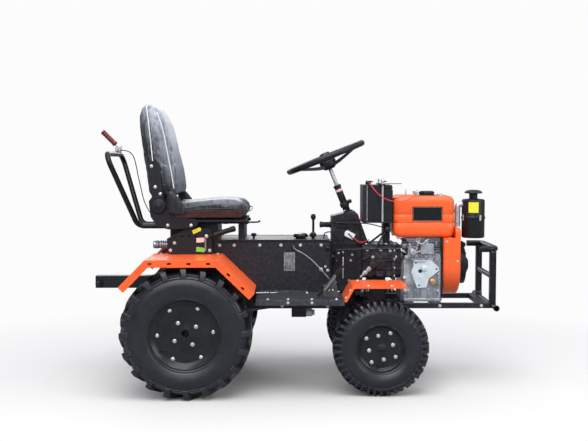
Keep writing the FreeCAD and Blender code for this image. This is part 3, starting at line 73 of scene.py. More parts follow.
# ---------------- materials
class Nodes:
    """Short ways to add nodes to a material or world. A value is a number, a colour or another node's output."""

    def __init__(self, owner, cleared=False):
        owner.use_nodes = True
        self.tree = owner.node_tree
        if cleared:
            self.tree.nodes.clear()

    def feed(self, socket, value):
        if isinstance(value, bpy.types.NodeSocket):
            self.tree.links.new(value, socket)
        elif isinstance(value, tuple) and socket.type == "RGBA":
            socket.default_value = (*value, 1.0)
        elif value is not None:
            socket.default_value = value

    def set(self, node, **values):
        for name, value in values.items():
            self.feed(node.inputs[name.replace("_", " ")], value)

    def add(self, kind, *first, **values):
        """New node. Its first inputs go by their order, and the named ones by their names."""
        node = self.tree.nodes.new("ShaderNode" + kind)
        for socket, value in zip(node.inputs, first):
            self.feed(socket, value)
        self.set(node, **values)
        return node

    def place(self):
        return self.add("TexCoord").outputs["Object"]

    def split(self, vector):
        return self.add("SeparateXYZ", vector).outputs

    def noise(self, place, scale, detail=3.0, rough=0.55):
        return self.add("TexNoise", Vector=place, Scale=scale, Detail=detail, Roughness=rough).outputs["Fac"]

    def cells(self, place, scale):
        return self.add("TexVoronoi", Vector=place, Scale=scale).outputs["Distance"]

    def spread(self, value, low, high, to_low=0.0, to_high=1.0):
        """Value carried from one range to another, and held there."""
        node = self.add("MapRange", Value=value, From_Min=low, From_Max=high, To_Min=to_low, To_Max=to_high)
        return node.outputs["Result"]

    def calc(self, operation, first, second=None):
        node = self.add("Math", first, second)
        node.operation = operation
        return node.outputs[0]

    def plus(self, first, second):
        return self.calc("ADD", first, second)

    def times(self, first, second):
        return self.calc("MULTIPLY", first, second)

    def blend(self, factor, first, second):
        node = self.add("Mix")
        node.data_type = "RGBA"
        for key, value in (("Factor", factor), (6, first), (7, second)):
            self.feed(node.inputs[key], value)
        return node.outputs[2]

    def edge(self, high=0.6, most=1.0):
        """How sharply the surface turns outwards."""
        return self.spread(self.add("NewGeometry").outputs["Pointiness"], 0.53, high, 0, most)

    def surface(self, tone, gloss, height, strength, depth, **values):
        relief = self.add("Bump", Strength=strength, Distance=depth, Height=height).outputs["Normal"]
        self.set(self.tree.nodes["Principled BSDF"], Base_Color=tone, Roughness=gloss, Normal=relief, **values)


def shaded(colour, share):
    return tuple(min(1.0, c * share) for c in colour)


DUST_COLOUR = (0.30, 0.28, 0.25)
# Bluish grey of the painted sheen and glints on the seat's clear wrap: a painted reflection of the bluish sky.
WRAP_SHEEN_COLOUR = (0.43, 0.46, 0.54)


def material(name, colour, rough, metal=0.0, specular=0.5, coat=0.0, vary=0.22, scale=9.0, rough_vary=0.12,
             bump=0.12, bump_scale=420.0, depth=0.0004, dust=0.0, wear=0.0, worn=(0.4, 0.4, 0.42), brushed=None,
             pits=0.0, pit_scale=90.0):
    """Surface whose colour, gloss and relief all vary; dust gathers low down and wear on the edges."""
    made = bpy.data.materials.new(name)
    n = Nodes(made)
    place = n.place()
    broad = n.spread(n.noise(place, scale, 4.0, 0.6), 0.3, 0.7)
    tone = n.blend(broad, shaded(colour, 1 - vary), shaded(colour, 1 + vary / 2))
    grain_place = n.add("Mapping", Vector=place, Scale=brushed).outputs["Vector"] if brushed else place
    height = n.noise(grain_place, bump_scale, 2.0, 0.5)
    gloss = n.spread(n.noise(place, scale * 5, 5.0, 0.65), 0.3, 0.72, rough - rough_vary, rough + rough_vary)
    if pits:
        height = n.plus(height, n.times(n.cells(place, pit_scale), pits))
    if wear:
        rubbed = n.times(n.edge(), n.spread(n.noise(place, 60, 4.0), 0.42, 0.62, 0, wear))
        tone = n.blend(rubbed, tone, worn)
    if dust:
        low = n.spread(n.split(place)["Z"], 0.75, -0.05)
        film = n.times(low, n.spread(n.noise(place, 14, 6.0, 0.7), 0.35, 0.75, 0, dust))
        tone = n.blend(film, tone, DUST_COLOUR)
        gloss = n.plus(gloss, n.times(film, 0.3))
    n.surface(tone, gloss, height, bump, depth, Metallic=metal, Specular_IOR_Level=specular, Coat_Weight=coat,
              Coat_Roughness=0.12)
    return made


ORANGE = material("orange_paint", (0.90, 0.118, 0.024), 0.32, specular=0.32, coat=0.10, vary=0.07, scale=5,
                  bump=0.06, bump_scale=240, wear=0.30, worn=(0.98, 0.35, 0.18), dust=0.08, rough_vary=0.06)
# The extra blue in this and the other dark colours, the rubber's and the seat vinyl's too, is a painted reflection
# of the bluish sky.
BLACK = material("black_paint", (0.0078, 0.0090, 0.0136), 0.42, specular=0.34, vary=0.10, scale=3, bump=0.02,
                 bump_scale=380, wear=0.25, worn=(0.09, 0.09, 0.10), dust=0.02, rough_vary=0.02)
SATIN = material("black_tube_paint", (0.0070, 0.0076, 0.0100), 0.30, specular=0.24, coat=0.05, vary=0.25, bump=0.05,
                 bump_scale=300, wear=0.25, worn=(0.11, 0.11, 0.12), dust=0.04, rough_vary=0.06)
CAST = material("black_casting", (0.0120, 0.0126, 0.0165), 0.40, specular=0.30, vary=0.30, scale=14, bump=0.30,
                bump_scale=240, depth=0.0006, pits=0.4, pit_scale=320, wear=0.5, worn=(0.10, 0.10, 0.105), dust=0.07)
BOARD = material("board_paint", (0.017, 0.020, 0.026), 0.42, vary=0.3, bump=0.3, bump_scale=160, wear=0.4,
                 worn=(0.28, 0.30, 0.32), dust=0.09)
RIM = material("rim_paint", (0.0066, 0.0070, 0.0094), 0.30, specular=0.32, coat=0.05, bump=0.05, bump_scale=320,
               wear=0.25, worn=(0.09, 0.09, 0.10), dust=0.04, rough_vary=0.06)
PLASTIC = material("black_plastic", (0.0075, 0.0080, 0.0108), 0.42, specular=0.32, vary=0.25, bump=0.14,
                   bump_scale=650, depth=0.0003, wear=0.15, worn=(0.06, 0.06, 0.065), dust=0.02, rough_vary=0.06)
GLOSSY = material("gloss_plastic", (0.0075, 0.0078, 0.009), 0.22, specular=0.4, coat=0.10, vary=0.2, bump=0.05,
                  rough_vary=0.05)
ALUMINIUM = material("cast_aluminium", (0.40, 0.42, 0.46), 0.34, metal=0.65, vary=0.55, scale=16, bump=0.3,
                     bump_scale=260, depth=0.0005, pits=0.25, pit_scale=300, wear=0.7, worn=(0.90, 0.91, 0.93))
GALVANISED = material("galvanised_plate", (0.60, 0.67, 0.71), 0.42, metal=0.15, vary=0.15, scale=30, bump=0.25,
                      bump_scale=120, pits=0.2, pit_scale=60)
STEEL = material("bright_steel", (0.50, 0.51, 0.53), 0.38, metal=0.6, vary=0.12, scale=12, bump=0.03, bump_scale=60,
                 depth=0.0002, brushed=(1, 1, 14), rough_vary=0.04)
ZINC = material("zinc_bolts", (0.66, 0.66, 0.64), 0.34, metal=0.7, vary=0.2, scale=60, bump=0.3, bump_scale=500)
BRASS = material("brass_cap", (0.66, 0.38, 0.15), 0.34, metal=0.8, vary=0.25, scale=50, bump=0.3)
GREY_STEEL = material("grey_steel", (0.15, 0.155, 0.16), 0.42, metal=0.5, vary=0.4, scale=18, bump=0.4, wear=0.7,
                      worn=(0.45, 0.46, 0.47), dust=0.2)
RED_GRIP = material("red_grip", (0.155, 0.0045, 0.007), 0.36, vary=0.3, scale=30, bump=0.25, bump_scale=520)
PALE_CABLE = material("pale_sheath", (0.30, 0.31, 0.33), 0.36, vary=0.25, scale=40, bump=0.2, bump_scale=800)
CABLE = material("cable_sheath", (0.012, 0.012, 0.013), 0.38, vary=0.3, scale=40, bump=0.3, bump_scale=800)
RED_CABLE = material("red_sheath", (0.60, 0.035, 0.05), 0.36, vary=0.2, scale=40, bump=0.25, bump_scale=800)
WHITE = material("white_plastic", (0.74, 0.74, 0.71), 0.40, vary=0.10, scale=40, bump=0.2)
YELLOW = material("yellow_tag", (0.80, 0.72, 0.03), 0.45, vary=0.12, scale=60, bump=0.15)
GREEN = material("green_tag", (0.20, 0.60, 0.06), 0.45, vary=0.12, scale=60, bump=0.15)
PINK = material("pale_tag", (0.85, 0.62, 0.56), 0.45, vary=0.15, scale=90, bump=0.15)
GREY_TRIM = material("grey_trim", (0.30, 0.29, 0.27), 0.5, vary=0.35, scale=50, bump=0.3)


def tyre_rubber():
    """Rubber with fine rings moulded round the side, a dull bloom and scuffs over them, and a painted highlight on
    its edges.
    """
    made = bpy.data.materials.new("tyre_rubber")
    n = Nodes(made)
    place = n.place()
    parts = n.split(place)
    radius = n.calc("SQRT", n.plus(*[n.times(parts[k], parts[k]) for k in (0, 2)]))
    rings = n.calc("SINE", n.times(radius, 1500.0))
    bloom = n.noise(place, 16, 6.0, 0.7)
    tone = n.blend(n.spread(bloom, 0.3, 0.72), (0.0050, 0.0060, 0.0094), (0.0105, 0.0123, 0.0186))
    scuffs = n.spread(n.noise(place, 70, 8.0, 0.75), 0.60, 0.78, 0, 0.35)
    tone = n.blend(scuffs, tone, (0.045, 0.046, 0.052))
    # Painted highlight: every convex edge of the rubber is tinted lighter grey.
    tone = n.blend(n.edge(0.62, 0.45), tone, (0.06, 0.062, 0.068))
    height = n.plus(n.times(rings, 0.10), n.noise(place, 420, 3.0))
    n.surface(tone, n.spread(bloom, 0.3, 0.7, 0.26, 0.38), height, 0.45, 0.0007, Specular_IOR_Level=0.55)
    return made


def vinyl(name, colour, wrap, fade, lean=0.0):
    """Seat vinyl with fine grain under a creased clear wrap; the wrap's pale look is a painted sheen, stronger
    towards the top and patchy along the creases, with painted glints on the crease ridges.

    fade is the two values, along X * lean + Z, between which the painted sheen goes from none to full.
    """
    made = bpy.data.materials.new(name)
    n = Nodes(made)
    place = n.place()
    drawn = n.add("Mapping", Vector=place, Scale=(1.0, 1.0, 0.16), Rotation=(0, math.radians(14), 0))
    creases = n.noise(drawn.outputs["Vector"], 58, 3.0, 0.5)
    ridges = n.calc("ABSOLUTE", n.calc("SUBTRACT", creases, 0.5))
    parts = n.split(place)
    # Painted sheen: the wrap is made paler towards the top and front, as where light falls on it, and patchy along
    # the creases; the crease ridges get painted glints.
    sheen_height = n.spread(n.plus(parts["Z"], n.times(parts["X"], lean)), *fade)
    wrap_sheen = n.times(sheen_height, n.spread(creases, 0.36, 0.64, 0.42, 1.0))
    amount = n.plus(n.times(wrap_sheen, wrap), n.times(n.spread(ridges, 0.022, 0.0), 0.22 * wrap + 0.05))
    base = n.blend(n.spread(n.noise(place, 12, 4.0), 0.3, 0.7), shaded(colour, 0.75), shaded(colour, 1.2))
    tone = n.blend(n.spread(amount, 0, 1), base, WRAP_SHEEN_COLOUR)
    height = n.plus(n.times(n.cells(place, 620), 0.10), n.times(ridges, 3.0))
    n.surface(tone, n.spread(creases, 0.3, 0.7, 0.30, 0.48), height, 0.5, 0.0018, Coat_Weight=0.14,
              Coat_Roughness=0.26, Specular_IOR_Level=0.35)
    return made


RUBBER = tyre_rubber()
# Seat finishes: the wrap value and the fade set the strength and rise of the painted sheen; the panel and bolsters
# get next to none.
BACK_VINYL = vinyl("seat_back_vinyl", (0.012, 0.0135, 0.018), 0.80, (-0.24, 0.0), 2.0)
CUSHION_VINYL = vinyl("seat_cushion_vinyl", (0.0105, 0.0115, 0.0150), 0.46, (0.878, 0.912))
PANEL_VINYL = vinyl("seat_panel_vinyl", (0.036, 0.0052, 0.0052), 0.05, (2.0, 3.0))
DARK_VINYL = vinyl("seat_bolster_vinyl", (0.010, 0.0105, 0.013), 0.05, (2.0, 3.0))


# ---------------- shapes, in millimetres
# Shapes are added to one draft. piece() or puffed() turns it into an object and leaves it empty.
draft = bmesh.new()


def axes_along(axis):
    """Rotation that turns +Z to an axis."""
    return Vector((0, 0, 1)).rotation_difference(Vector(axis).normalized()).to_matrix().to_4x4()


def turned(place, degrees, axis):
    return Matrix.Translation(Vector(place)) @ Matrix.Rotation(math.radians(degrees), 4, axis)


def spoke(radius, degrees):
    """The two coordinates of a point on a circle."""
    return radius * math.cos(math.radians(degrees)), radius * math.sin(math.radians(degrees))


def skin(rings, closed=False):
    """Faces between rings of points. The last ring joins the first, or both ends are capped."""
    rings = [[draft.verts.new(point) for point in ring] for ring in rings]
    for low, high in zip(rings, rings[1:] + (rings[:1] if closed else [])):
        for i in range(len(low)):
            j = (i + 1) % len(low)
            draft.faces.new((low[i], low[j], high[j], high[i]))
    if not closed:
        draft.faces.new(rings[0][::-1])
        draft.faces.new(rings[-1])


def lathe(profile, count, base=(0, 0, 0), axis=HIGH, closed=False, start=0.0):
    """Round form of (radius, height) points along an axis. A closed profile makes a ring."""
    turn = Matrix.Translation(Vector(base)) @ axes_along(axis)
    angles = [start + 2 * math.pi * i / count for i in range(count)]
    skin([[turn @ Vector((radius * math.cos(a), radius * math.sin(a), height)) for a in angles]
          for radius, height in profile], closed)


def box(low, high, turn=Matrix()):
    skin([[turn @ Vector((x, y, z)) for x, y in ((low[0], low[1]), (high[0], low[1]), (high[0], high[1]),
                                                 (low[0], high[1]))] for z in (low[2], high[2])])


def ribs(count, place, axis, low, high):
    """Boxes set round an axis."""
    for k in range(count):
        box(low, high, turned(place, 360 * k / count, axis))


def plate(outline, y, thick):
    """Flat (x, z) outline drawn out along Y."""
    skin([[(x, at, z) for x, z in outline] for at in (y, y + thick)])


def thin_frame(low, high, width, y0, y1):
    """Four lines round an (x, z) rectangle."""
    for z in (low[1], high[1] - width):
        box((low[0], y0, z), (high[0], y1, z + width))
    for x in (low[0], high[0] - width):
        box((x, y0, low[1]), (x + width, y1, high[1]))


def smooth_line(points, steps=6):
    """Catmull-Rom line through points."""
    points = [Vector(p) for p in points]
    padded = [points[0] * 2 - points[1]] + points + [points[-1] * 2 - points[-2]]
    line = []
    for a, b, c, d in zip(padded, padded[1:], padded[2:], padded[3:]):
        for k in range(steps):
            t = k / steps
            swing, twist = 2 * a - 5 * b + 4 * c - d, 3 * b - a - 3 * c + d
            line.append(0.5 * ((2 * b) + (c - a) * t + swing * t ** 2 + twist * t ** 3))
    return line + [points[-1]]


def arc_line(points, radius, steps=10):
    """Straight runs joined by arcs of one radius."""
    points = [Vector(p) for p in points]
    line = [points[0]]
    for before, corner, after in zip(points, points[1:], points[2:]):
        back, ahead = (before - corner).normalized(), (after - corner).normalized()
        half = (math.pi - back.angle(ahead)) / 2
        trim = radius * math.tan(half)
        centre = corner + (back + ahead).normalized() * (radius / math.cos(half))
        first, last = ((corner + run * trim - centre).normalized() for run in (back, ahead))
        line += [centre + first.slerp(last, k / steps) * radius for k in range(steps + 1)]
    return line + [points[-1]]


def rounded_rectangle(x, y, radius, steps):
    outline = []
    x0, x1, y0, y1 = x[0] + radius, x[1] - radius, y[0] + radius, y[1] - radius
    for cx, cy, first in ((x1, y1, 0), (x0, y1, 90), (x0, y0, 180), (x1, y0, 270)):
        for k in range(steps + 1):
            along, up = spoke(radius, first + 90 * k / steps)
            outline.append((cx + along, cy + up))
    return outline


def tube(line, radius, count=10, taper=None):
    """Round bar along a line, its section carried without twist."""
    line = [Vector(p) for p in line]
    angles = [2 * math.pi * k / count for k in range(count)]
    rings, across = [], None
    for i, point in enumerate(line):
        heading = (line[min(i + 1, len(line) - 1)] - line[max(i - 1, 0)]).normalized()
        across = across or heading.orthogonal()
        across = (across - heading * across.dot(heading)).normalized()
        other = heading.cross(across)
        r = radius * (taper(i / (len(line) - 1)) if taper else 1)
        rings.append([point + across * (r * math.cos(a)) + other * (r * math.sin(a)) for a in angles])
    skin(rings)


def coil(start, end, count, per_turn, radius, lift=0.0):
    """Spring of thin wire between two points."""
    line = []
    for k in range(count + 1):
        a = 2 * math.pi * k / per_turn
        around = Vector((radius * math.cos(a), radius * math.sin(a), lift * math.sin(a)))
        line.append(Vector(start).lerp(Vector(end), k / count) + around)
    tube(line, 0.8, 5)


def bolt(place, axis, size=7.0, height=5.0, washer=True, dome=False):
    """Hexagon head on a washer, or a domed head, standing on a face."""
    turn = random.uniform(0, math.pi / 3)
    if washer:
        lathe([(size * 0.95, -1.0), (size * 1.28, 0.0), (size * 1.28, 1.2), (size * 1.18, 1.7)], 20, place, axis)
    if dome:
        lathe([(size, 0), (size, 1.5), (size * 0.86, height * 0.7), (size * 0.5, height), (size * 0.1, height)], 16,
              place, axis)
    else:
        lathe([(size, 0.5), (size, height - 1), (size * 0.86, height)], 6, place, axis, start=turn)


def side_bolts(side, places, y, size, height, **kind):
    """Bolts at (x, z) places on a face that looks to one side."""
    for x, z in places:
        bolt((x, side * y, z), (0, side, 0), size, height, **kind)


def top_bolts(places, z, size, height):
    for x, y in places:
        bolt((x, y, z), HIGH, size, height)


def taken(name):
    """Mesh of the draft, in metres, which leaves the draft empty."""
    bmesh.ops.recalc_face_normals(draft, faces=draft.faces)
    bmesh.ops.scale(draft, vec=(MM, MM, MM), verts=draft.verts)
    mesh = bpy.data.meshes.new(name)
    draft.to_mesh(mesh)
    draft.clear()
    return mesh


def piece(name, finish, slot, body="chassis", bevel=0.0, angle=38.0, replaces=(), place=None, segments=2):
    """Turns the draft into an object that rides on a body."""
    made = linked(name, taken(name))
    mesh = made.data
    for polygon in mesh.polygons:
        polygon.use_smooth = True
    mesh.set_sharp_from_angle(angle=math.radians(angle))
    mesh.materials.append(finish)
    if place:
        made.location = Vector(place) * MM
    if bevel:
        round_edges(made, bevel, segments)
    bpy.context.view_layer.update()
    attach(made, body)
    if replaces:
        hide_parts(*replaces)
    return made


def round_edges(made, width, segments=2):
    edge = made.modifiers.new("edges", "BEVEL")
    edge.width, edge.segments = width * MM, segments
    edge.limit_method, edge.angle_limit = "ANGLE", math.radians(38)
    edge.harden_normals = True
    edge.use_clamp_overlap = True


def settled(made):
    """Gives an object the mesh that its modifiers make."""
    graph = bpy.context.evaluated_depsgraph_get()
    shape = bpy.data.meshes.new_from_object(made.evaluated_get(graph))
    made.modifiers.clear()
    made.data = shape
    return shape


def dress(finish, bevel, *nodes):
    """Finish for CAD nodes that stay, with their edges eased."""
    for node in nodes:
        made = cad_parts[node]
        made.data.materials.clear()
        made.data.materials.append(finish)
        weld = made.modifiers.new("weld", "WELD")
        weld.merge_threshold = 0.00002
        round_edges(made, bevel)


# ---------------- cables, in metres
CABLE_THICK = 0.005


def cable(name, node, finish, route):
    data = bpy.data.curves.new(name, "CURVE")
    data.dimensions = "3D"
    data.bevel_depth = CABLE_THICK / 2
    data.bevel_resolution = 4
    data.resolution_u = 10
    data.use_fill_caps = True
    data.materials.append(finish)
    line = data.splines.new("NURBS")
    line.points.add(len(route) - 1)
    for point, place in zip(line.points, route):
        point.co = (*place, 1.0)
    line.order_u = 3
    line.use_endpoint_u = True
    made = linked(name, data)
    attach(made, "chassis")
    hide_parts(node)


cable("handle_cable_line", "handle_cable", CABLE, [
    (-0.881, 0.120, 1.145), (-0.848, 0.120, 1.145), (-0.822, 0.146, 1.122), (-0.812, 0.170, 1.074),
    (-0.800, 0.162, 1.012), (-0.784, 0.146, 0.952), (-0.768, 0.118, 0.895), (-0.744, 0.090, 0.850),
    (-0.712, 0.062, 0.812), (-0.676, 0.040, 0.780), (-0.638, 0.028, 0.754), (-0.600, 0.028, 0.754)])
cable("side_cable_line", "side_cable", PALE_CABLE, [
    (-0.005, -0.150, 0.672), (-0.005, -0.180, 0.672), (0.013, -0.206, 0.664), (0.049, -0.212, 0.646),
    (0.085, -0.206, 0.616), (0.117, -0.194, 0.582), (0.144, -0.180, 0.550), (0.167, -0.164, 0.522),
    (0.186, -0.138, 0.506), (0.200, -0.106, 0.498), (0.208, -0.078, 0.493), (0.208, -0.052, 0.493)])
cable("battery_lead_line", "battery_lead", RED_CABLE, [
    (0.365, -0.100, 0.981), (0.365, -0.126, 0.981), (0.372, -0.146, 0.968), (0.390, -0.158, 0.944),
    (0.416, -0.160, 0.920), (0.450, -0.161, 0.902), (0.488, -0.160, 0.894), (0.522, -0.160, 0.897),
    (0.554, -0.160, 0.908), (0.576, -0.154, 0.924), (0.590, -0.134, 0.934), (0.590, -0.110, 0.934)])


# ---------------- wheels
# tyre side from the rim's flange to the tread's floor: share of the way, and how far inside the full width
SIDE_BULGE = ((0.012, 14.5), (0.03, 13.0), (0.075, 11.8), (0.10, 11.6), (0.12, 11.2), (0.13, 9.4), (0.15, 8.6),
              (0.21, 6.2), (0.28, 3.8), (0.35, 1.9), (0.42, 0.5), (0.47, 0.0), (0.53, 0.4), (0.60, 1.8), (0.67, 3.8),
              (0.735, 6.2), (0.785, 8.4), (0.80, 7.3), (0.815, 9.6), (0.86, 12.0), (0.875, 10.8), (0.89, 13.4),
              (0.94, 17.5), (0.985, 23.0), (1.0, 30.0))
FLANGE = 13  # height of a rim's flange above its bead
SHOULDER = 10  # from a tyre's full width to the end of its tread
REAR_BEAD, FRONT_BEAD = 152, 101
SPINDLE_END = (400, 338, 225)


def tyre_lug(pitch, start, side, tip, floor, half, share, wrap, first=0.0):
    """One half lug: a bar that trails from the middle of the tread to the shoulder and over it."""
    steps = 7
    sections = []
    for k in range(steps + 2):
        t = first + (1 - first) * min(k, steps) / steps
        lead = start - pitch * (0.42 * min(t * 2, 1) + 0.20 * max(t * 2 - 1, 0))
        width = pitch * share * (0.88 + 0.12 * t)
        crown = tip - 5.0 * t ** 2.4 - (2.5 if first and k == 0 else 0)
        y, root = (half - SHOULDER + 4.0) * t - 4.0, floor - 12 - 8 * t
        if k == steps + 1:
            y, crown, root = half - 0.5, floor - wrap, floor - wrap - 16
            width *= 0.92
            lead -= pitch * 0.02
        ease = width * 0.10
        corners = ((lead, root), (lead + ease, crown), (lead + width - ease, crown), (lead + width, root))
        sections.append([(radius * math.cos(at), side * y, radius * math.sin(at)) for at, radius in corners])
    skin(sections)


def tyre(body, node, bead, lugs, lug_height, share, wrap, short_lugs, hairs):
    name = node + "_skin"
    low, high = span(node)
    look = {"body": body, "place": (low + high) / 2}
    tip, half = (high.z - low.z) / 2, (high.y - low.y) / 2
    floor, flange = tip - lug_height, bead + FLANGE
    pitch = 2 * math.pi / lugs
    profile = [(bead + 0.4, half - 23)] + [(flange + (floor - flange) * t, half - drop) for t, drop in SIDE_BULGE]
    profile.append((floor, 0))
    lathe(profile + [(r, -y) for r, y in profile[-2::-1]], 144, axis=LEFT, closed=True)
    piece(name + "_carcass", RUBBER, "tyre_rubber", replaces=(node,), angle=60, **look)
    for side in (1, -1):
        for n in range(lugs):
            start = (n + (0 if side > 0 else 0.5)) * pitch - math.pi / 2
            tyre_lug(pitch, start, side, tip, floor, half, share, wrap)
            if short_lugs:
                tyre_lug(pitch, start + pitch / 2, side, tip, floor, half, share * 0.86, wrap, first=0.66)
    piece(name + "_lugs", RUBBER, "tyre_rubber", bevel=2.2 if lug_height > 20 else 1.5, angle=50, **look)
    for n in range(hairs):
        turn = random.uniform(0, 2 * math.pi)
        y = random.choice((-1, 1)) * (half - SHOULDER - random.uniform(0, 26))
        root = Vector(((tip - 6) * math.cos(turn), y, (tip - 6) * math.sin(turn)))
        out = Vector((math.cos(turn), random.uniform(-0.2, 0.2), math.sin(turn)))
        along = Vector((-math.sin(turn), 0, math.cos(turn))) * random.uniform(-0.5, 0.5)
        if math.sin(turn) < -0.9:  # none where the tyre stands on the ground
            continue
        reach = random.uniform(4, 9)
        tube(smooth_line([root, root + out * reach * 0.6, root + out * reach + along * reach], 3), 0.7, 5,
             taper=lambda t: 1 - 0.7 * t)
    piece(name + "_hairs", RUBBER, "tyre_rubber", **look)


def rim(body, node, side, bead, tyre_half, recess, slope, bolt_rings, valve, hole):
    """Smooth rim: rolled flange, sloped well and a bolted disc. Bolt rings are (count, radius, first angle)."""
    name = node + "_skin"
    tyre_low, tyre_high = span(node.replace("rim", "tyre"))
    look = {"body": body, "place": (tyre_low + tyre_high) / 2}
    half = tyre_half - 14
    face = half - recess
    wall, flange = bead - 4, bead + FLANGE
    edge = flange - slope
    lip = [(bead - 0.4, half - 9), (flange - 4, half - 1.5), (flange - 0.5, half - 0.5), (flange, half + 1.0),
           (flange - 1.5, half + 2.0), (flange - 5, half + 1.4)]
    well = [(flange - 5 + (edge + 5 - flange) * t, half + 1.4 + (face + 1.6 - half) * (1 - (1 - t) ** 1.5))
            for t in (0.2, 0.4, 0.6, 0.8, 0.92)]
    disc = [(edge + 1.5, face + 3.2), (edge, face + 0.8), (edge - 4, face), (hole + 9, face), (hole + 7, face + 0.8),
            (hole + 1.5, face + 0.8), (hole, face - 1)]
    back = [(hole, face - 8), (edge - 2, face - 8), (wall - 2, face - 12), (wall - 1, -half + 9),
            (bead - 3, -half + 6), (flange - 6, -half - 1.2), (flange - 1.5, -half - 2.0), (flange, -half - 1.0),
            (flange - 0.5, -half + 0.5), (flange - 4, -half + 1.5), (bead - 0.4, -half + 9)]
    lathe([(r, side * y) for r, y in lip + well + disc + back], 120, axis=LEFT, closed=True)
    piece(name + "_disc", RIM, "rim_black", replaces=(node,), angle=30, **look)
    for count, radius, first in bolt_rings:
        for k in range(count):
            x, z = spoke(radius, first + k * 360 / count)
            bolt((x, side * face, z), (0, side, 0), 7.4, 7.5)
            lathe([(3.6, 4), (3.6, 8.4), (2.8, 9.4)], 10, (x, side * face, z), (0, side, 0))
    piece(name + "_bolts", ZINC, "bare_steel", bevel=0.4, **look)
    x, z = spoke(1, valve[1])
    lathe([(7, -2), (7, 2), (5, 4), (4.4, 9), (3.6, 10), (3.6, 14), (4.2, 14.5), (4.2, 18), (2.4, 19)], 16,
          (valve[0] * x, side * (face + 1), valve[0] * z), (0.12 * x, side, 0.12 * z))
    piece(name + "_valve", PLASTIC, "black_plastic", **look)
    return face, look


for side_name, side in (("right", -1), ("left", 1)):
    body = "rear_wheel_" + side_name
    tyre(body, "rear_tyre_" + side_name, bead=REAR_BEAD, lugs=20, lug_height=24, share=0.36, wrap=9,
         short_lugs=False, hairs=40)
    tyre("front_wheel_" + side_name, "front_tyre_" + side_name, bead=FRONT_BEAD, lugs=21, lug_height=15, share=0.27,
         wrap=14, short_lugs=True, hairs=210)
    face, look = rim(body, "rear_rim_" + side_name, side, bead=REAR_BEAD, tyre_half=82.5, recess=20, slope=33,
                     bolt_rings=((6, 129, 3.5), (4, 59, 33.8)), valve=(126, 216.0), hole=18)
    lathe([(18, -148.5), (18, face - 14), (60, face - 14), (60, face - 8.2), (17.6, face - 8.2), (17.6, face - 3.0),
           (17.2, face - 2.6), (16.8, face - 3.4), (16.8, face - 44)], 48, axis=(0, side, 0))
    piece("rear_hub_" + side_name, CAST, "rim_black", angle=30, **look)
    body = "front_wheel_" + side_name
    face, look = rim(body, "front_rim_" + side_name, side, bead=FRONT_BEAD, tyre_half=59, recess=22, slope=20,
                     bolt_rings=((4, 81, 57.5), (4, 57, 13.3)), valve=(84, 261.8), hole=20)
    lathe([(12.9, -33.5), (31, -33.5), (31.5, face - 8.2), (20.4, face - 8), (20.4, face + 3), (12.9, face + 3)], 40,
          axis=(0, side, 0), closed=True)
    piece("front_hub_" + side_name, CAST, "rim_black", angle=30, **look)
    lathe([(17, face + 3.6), (17, face + 12), (15.5, face + 15), (11, face + 17.5), (4, face + 18.4)], 32,
          (SPINDLE_END[0], side * SPINDLE_END[1], SPINDLE_END[2]), (0, side, 0))
    piece("spindle_cap_" + side_name, CAST, "black_paint", "knuckle_" + side_name)


# ---------------- steering wheel
COLUMN_TILT = math.radians(22)
UP = Vector((-math.sin(COLUMN_TILT), 0, math.cos(COLUMN_TILT)))
WHEEL = Vector((155, 0, 1108))


def steering_wheel():
    turn = Matrix.Translation(WHEEL) @ axes_along(UP)
    radius, around, across = 192, 96, 20
    rings = []
    for i in range(around):
        a = 2 * math.pi * i / around
        ring = []
        for j in range(across):
            b = 2 * math.pi * j / across
            # finger grooves on the inner side of the rim
            grip = 14.6 - 0.8 * max(0, math.cos(b - math.pi)) * (0.5 + 0.5 * math.cos(a * 40))
            reach = radius + grip * math.cos(b)
            ring.append(turn @ Vector((reach * math.cos(a), reach * math.sin(a), grip * math.sin(b))))
        rings.append(ring)
    skin(rings, closed=True)
    piece("steering_wheel_rim", PLASTIC, "black_plastic", "steering_wheel", replaces=("steering_wheel",), angle=60)
    for angle in (90, 210, 330):
        out = Vector((*spoke(1, angle), 0))
        side = Vector((-out.y, out.x, 0))
        sections = []
        for t in range(9):
            f = t / 8
            reach, height = 34 + 148 * f, -44 + 43 * f ** 1.2
            half, thick = 21 - 7 * math.sin(math.pi * f * 0.8), 8.0 - 3.0 * f
            corners = ((-half, -thick), (half, -thick), (half * 0.8, thick), (-half * 0.8, thick))
            sections.append([turn @ (out * reach + side * dx + Vector((0, 0, height + dz))) for dx, dz in corners])
        skin(sections)
    lathe([(24, -61.5), (28, -58), (39, -49), (41.8, -43), (41.5, -16), (37, -8), (31, -1), (28, 4)], 48, WHEEL, UP)
    piece("steering_wheel_spokes", PLASTIC, "black_plastic", "steering_wheel", bevel=2.0, angle=45)
    lathe([(27, 2), (28, 5), (28, 15), (25.5, 21), (19, 24.6), (8, 25.8), (1, 26)], 48, WHEEL, UP)
    piece("steering_wheel_cap", GLOSSY, "black_plastic", "steering_wheel", angle=45)


steering_wheel()


# ---------------- seat
CLOTH_FRAMES, CLOTH_PRESSURE, CLOTH_STIFFNESS = 20, 4.0, 18


